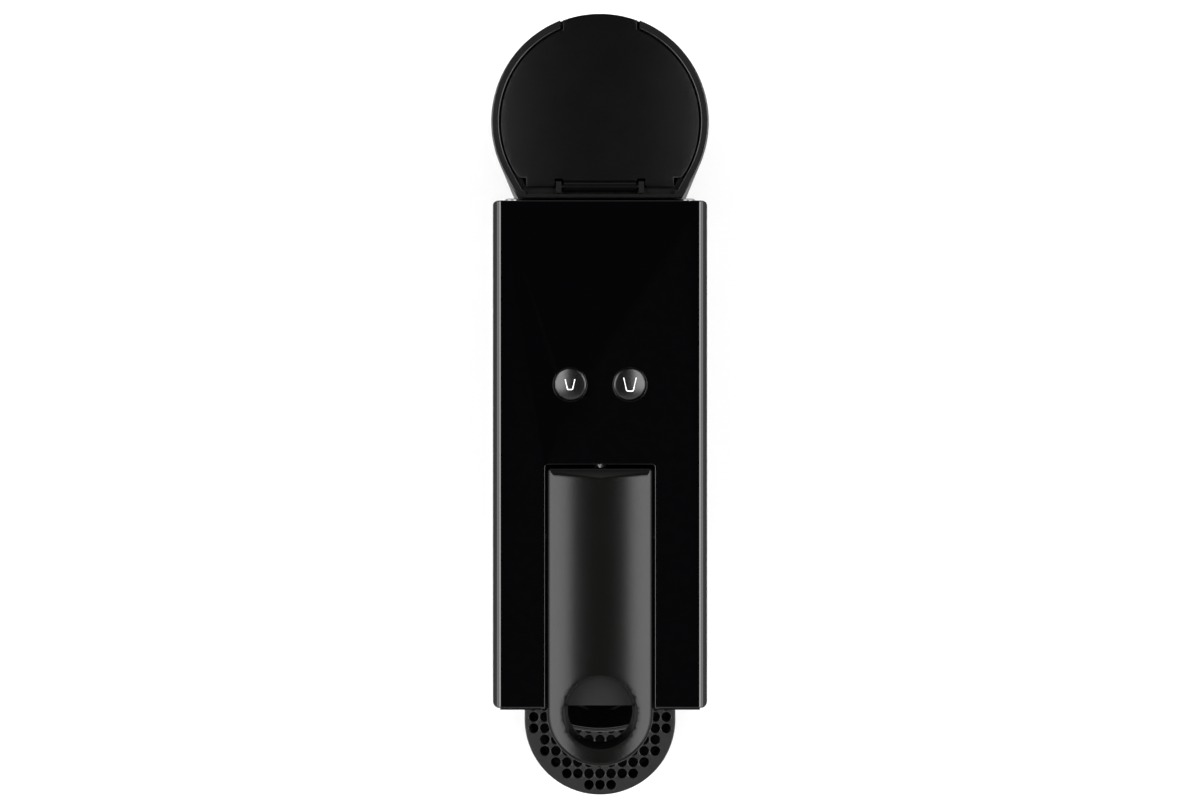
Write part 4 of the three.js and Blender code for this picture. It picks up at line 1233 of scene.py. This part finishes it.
# ------------------------------------------------------------------ stage
def make_floor():
    """A pale floor with painted light: a painted glow that brightens it into the distance, and a
    painted dim reflection of it in gloss.
    """
    mesh = bmesh.new()
    bmesh.ops.create_grid(mesh, x_segments=1, y_segments=1, size=6.0)
    floor = new_object("floor", mesh)
    floor.location.z = -0.0002
    material, tree, shader = principled("floor")
    tint = tuple(colours().floor)
    path = tree.nodes.new("ShaderNodeLightPath")
    # Painted reflection: rays from gloss see the floor at 0.3 of its colour, so its reflection in
    # the body is painted dim.
    dim = tuple(channel * 0.3 for channel in tint)
    base = mix_colour(tree, path.outputs["Is Glossy Ray"], tint, dim)
    tree.links.new(base, shader.inputs["Base Color"])
    # Painted light: a glow that only the camera sees, nothing within 0.35 m of the middle and
    # rising to 0.8 at 1.5 m, so the floor brightens into the distance.
    coordinates = tree.nodes.new("ShaderNodeTexCoord")
    reach = tree.nodes.new("ShaderNodeVectorMath")
    reach.operation = "LENGTH"
    tree.links.new(coordinates.outputs["Object"], reach.inputs[0])
    far = tree.nodes.new("ShaderNodeMapRange")
    far.inputs["From Min"].default_value = 0.35
    far.inputs["From Max"].default_value = 1.5
    far.inputs["To Max"].default_value = 0.8
    tree.links.new(reach.outputs["Value"], far.inputs["Value"])
    glow = maths(tree, "MULTIPLY", far.outputs["Result"], path.outputs["Is Camera Ray"])
    tree.links.new(glow, shader.inputs["Emission Strength"])
    shader.inputs["Emission Color"].default_value = (1, 1, 1, 1)
    shader.inputs["Roughness"].default_value = 0.9
    shader.inputs["Specular IOR Level"].default_value = 0.1
    floor.data.materials.append(material)


def softbox(name, bearing, tilt, width, length, radiance):
    """An area light that faces the body's top. tilt is from the zenith, bearing in plan."""
    data = bpy.data.lights.new(name, "AREA")
    data.shape = "RECTANGLE"
    data.size = width
    data.size_y = length
    data.energy = radiance * math.pi * width * length
    light = bpy.data.objects.new(name, data)
    out_x, out_y = math.cos(bearing), math.sin(bearing)
    rise, run = math.cos(tilt), math.sin(tilt)
    away = Vector((run * out_x, run * out_y, rise))
    across = Vector((rise * out_x, rise * out_y, -run))
    along = away.cross(across)
    aim = Vector((0, 0, SHELL.high.z * MM))
    turn = Matrix((across, along, away)).transposed().to_4x4()
    light.matrix_world = Matrix.Translation(aim + away * LIGHT_DISTANCE) @ turn
    bpy.context.scene.collection.objects.link(light)


def make_lights():
    """A bright and a broad softbox along each side of the machine, and one in front of it."""
    for name, side in SIDES:
        bearing = 0.0 if side > 0 else math.pi
        softbox(f"bright_{name}", bearing, math.radians(22), 0.5, 1.1, 9.0)
        softbox(f"broad_{name}", bearing, math.radians(47), 1.0, 1.8, 3.6)
    softbox("front", -math.pi / 2, math.radians(31), 0.4, 1.2, 1.8)


def make_world():
    """Pale at the horizon and dark overhead, so that the flat top stays black."""
    world = bpy.data.worlds.new("studio")
    bpy.context.scene.world = world
    world.use_nodes = True
    tree = world.node_tree
    coordinates = tree.nodes.new("ShaderNodeTexCoord")
    split = tree.nodes.new("ShaderNodeSeparateXYZ")
    ramp = tree.nodes.new("ShaderNodeValToRGB")
    tree.links.new(coordinates.outputs["Generated"], split.inputs["Vector"])
    tree.links.new(split.outputs["Z"], ramp.inputs["Fac"])
    stops = ramp.color_ramp.elements
    stops[0].position = 0.3
    stops[0].color = (1.0, 1.0, 1.0, 1)
    stops[1].position = 0.93
    stops[1].color = (0.0, 0.0, 0.0, 1)
    middle = stops.new(0.62)
    middle.color = (0.3, 0.3, 0.3, 1)
    tree.links.new(ramp.outputs["Color"], tree.nodes["Background"].inputs["Color"])


def make_camera():
    """A long lens straight above the machine."""
    data = bpy.data.cameras.new("camera")
    data.lens = LENS
    data.sensor_width = 36.0
    camera = bpy.data.objects.new("camera", data)
    camera.location = (0, CAMERA_Y, CAMERA_HEIGHT)
    scene = bpy.context.scene
    scene.collection.objects.link(camera)
    scene.camera = camera
    scene.view_settings.view_transform = "Standard"
    scene.view_settings.look = "None"


# ------------------------------------------------------------------ operators
class COFFEE_OT_studio(bpy.types.Operator):
    """Make the camera, the lights, the world and the floor"""

    bl_idname = "coffee.studio"
    bl_label = "Studio"

    def execute(self, context):
        make_camera()
        make_lights()
        make_world()
        make_floor()
        return {"FINISHED"}


class COFFEE_OT_frame_finishes(bpy.types.Operator):
    """Give the pieces kept from the frame their finishes"""

    bl_idname = "coffee.frame_finishes"
    bl_label = "Inner pieces"

    def execute(self, context):
        dress_frame()
        return {"FINISHED"}


class COFFEE_OT_sleeve(bpy.types.Operator):
    """Make the glossy sleeve with its lever channel and button holes"""

    bl_idname = "coffee.sleeve"
    bl_label = "Sleeve"

    def execute(self, context):
        make_sleeve()
        return {"FINISHED"}


class COFFEE_OT_panels(bpy.types.Operator):
    """Make the front of the head and the back panel"""

    bl_idname = "coffee.panels"
    bl_label = "Panels"

    def execute(self, context):
        make_front_panel()
        make_rear_panel()
        return {"FINISHED"}


class COFFEE_OT_outlet_cover(bpy.types.Operator):
    """Make the bowed cover of the outlet"""

    bl_idname = "coffee.outlet_cover"
    bl_label = "Outlet cover"

    def execute(self, context):
        make_nose()
        return {"FINISHED"}


class COFFEE_OT_base(bpy.types.Operator):
    """Make the base plate with the seat that carries the tank"""

    bl_idname = "coffee.base"
    bl_label = "Base"

    def execute(self, context):
        make_base()
        return {"FINISHED"}


class COFFEE_OT_fittings(bpy.types.Operator):
    """Make the feet, the screws and the cord's gland"""

    bl_idname = "coffee.fittings"
    bl_label = "Feet, screws and gland"

    def execute(self, context):
        make_feet()
        make_screws()
        make_gland()
        return {"FINISHED"}


class COFFEE_OT_lever(bpy.types.Operator):
    """Make the crowned lever with its finger ring"""

    bl_idname = "coffee.lever"
    bl_label = "Lever"

    def execute(self, context):
        make_lever()
        return {"FINISHED"}


class COFFEE_OT_cup_buttons(bpy.types.Operator):
    """Make the two button caps and their cup outlines"""

    bl_idname = "coffee.cup_buttons"
    bl_label = "Buttons"

    def execute(self, context):
        make_buttons()
        return {"FINISHED"}


class COFFEE_OT_tank(bpy.types.Operator):
    """Make the water tank and the spring of its valve"""

    bl_idname = "coffee.tank"
    bl_label = "Water tank"

    def execute(self, context):
        make_tank()
        make_valve_spring()
        return {"FINISHED"}


class COFFEE_OT_tank_lid(bpy.types.Operator):
    """Make the lid of the tank with its tab and hinge"""

    bl_idname = "coffee.tank_lid"
    bl_label = "Tank lid"

    def execute(self, context):
        make_lid()
        return {"FINISHED"}


class COFFEE_OT_drip_tray(bpy.types.Operator):
    """Make the drip tray and its grid"""

    bl_idname = "coffee.drip_tray"
    bl_label = "Drip tray"

    def execute(self, context):
        make_drip_base()
        make_drip_grid()
        return {"FINISHED"}


class COFFEE_OT_capsule_bin(bpy.types.Operator):
    """Make the bin that catches used capsules"""

    bl_idname = "coffee.capsule_bin"
    bl_label = "Capsule bin"

    def execute(self, context):
        make_bin()
        return {"FINISHED"}


OPERATORS = (
    COFFEE_OT_studio,
    COFFEE_OT_frame_finishes,
    COFFEE_OT_sleeve,
    COFFEE_OT_panels,
    COFFEE_OT_outlet_cover,
    COFFEE_OT_base,
    COFFEE_OT_fittings,
    COFFEE_OT_lever,
    COFFEE_OT_cup_buttons,
    COFFEE_OT_tank,
    COFFEE_OT_tank_lid,
    COFFEE_OT_drip_tray,
    COFFEE_OT_capsule_bin,
)


class COFFEE_PT_machine(bpy.types.Panel):
    """Lists the settings of the machine and the operators that build it"""

    bl_idname = "COFFEE_PT_machine"
    bl_label = "Coffee Machine"
    bl_space_type = "VIEW_3D"
    bl_region_type = "UI"
    bl_category = "Coffee Machine"

    def draw(self, context):
        layout = self.layout
        for settings in (context.scene.machine_sizes, context.scene.machine_colours):
            box = layout.box()
            for name in settings.__annotations__:
                box.prop(settings, name)
        for made in OPERATORS:
            layout.operator(made.bl_idname)


CLASSES = (MachineSizes, MachineColours, *OPERATORS, COFFEE_PT_machine)


def register():
    for made in CLASSES:
        bpy.utils.register_class(made)
    bpy.types.Scene.machine_sizes = bpy.props.PointerProperty(type=MachineSizes)
    bpy.types.Scene.machine_colours = bpy.props.PointerProperty(type=MachineColours)


def unregister():
    del bpy.types.Scene.machine_colours
    del bpy.types.Scene.machine_sizes
    for made in reversed(CLASSES):
        bpy.utils.unregister_class(made)


def main():
    register()
    bpy.ops.coffee.studio()
    bpy.ops.coffee.frame_finishes()
    bpy.ops.coffee.sleeve()
    bpy.ops.coffee.panels()
    bpy.ops.coffee.outlet_cover()
    bpy.ops.coffee.base()
    bpy.ops.coffee.fittings()
    bpy.ops.coffee.lever()
    bpy.ops.coffee.cup_buttons()
    bpy.ops.coffee.tank()
    bpy.ops.coffee.tank_lid()
    bpy.ops.coffee.drip_tray()
    bpy.ops.coffee.capsule_bin()


if __name__ == "__main__":
    main()
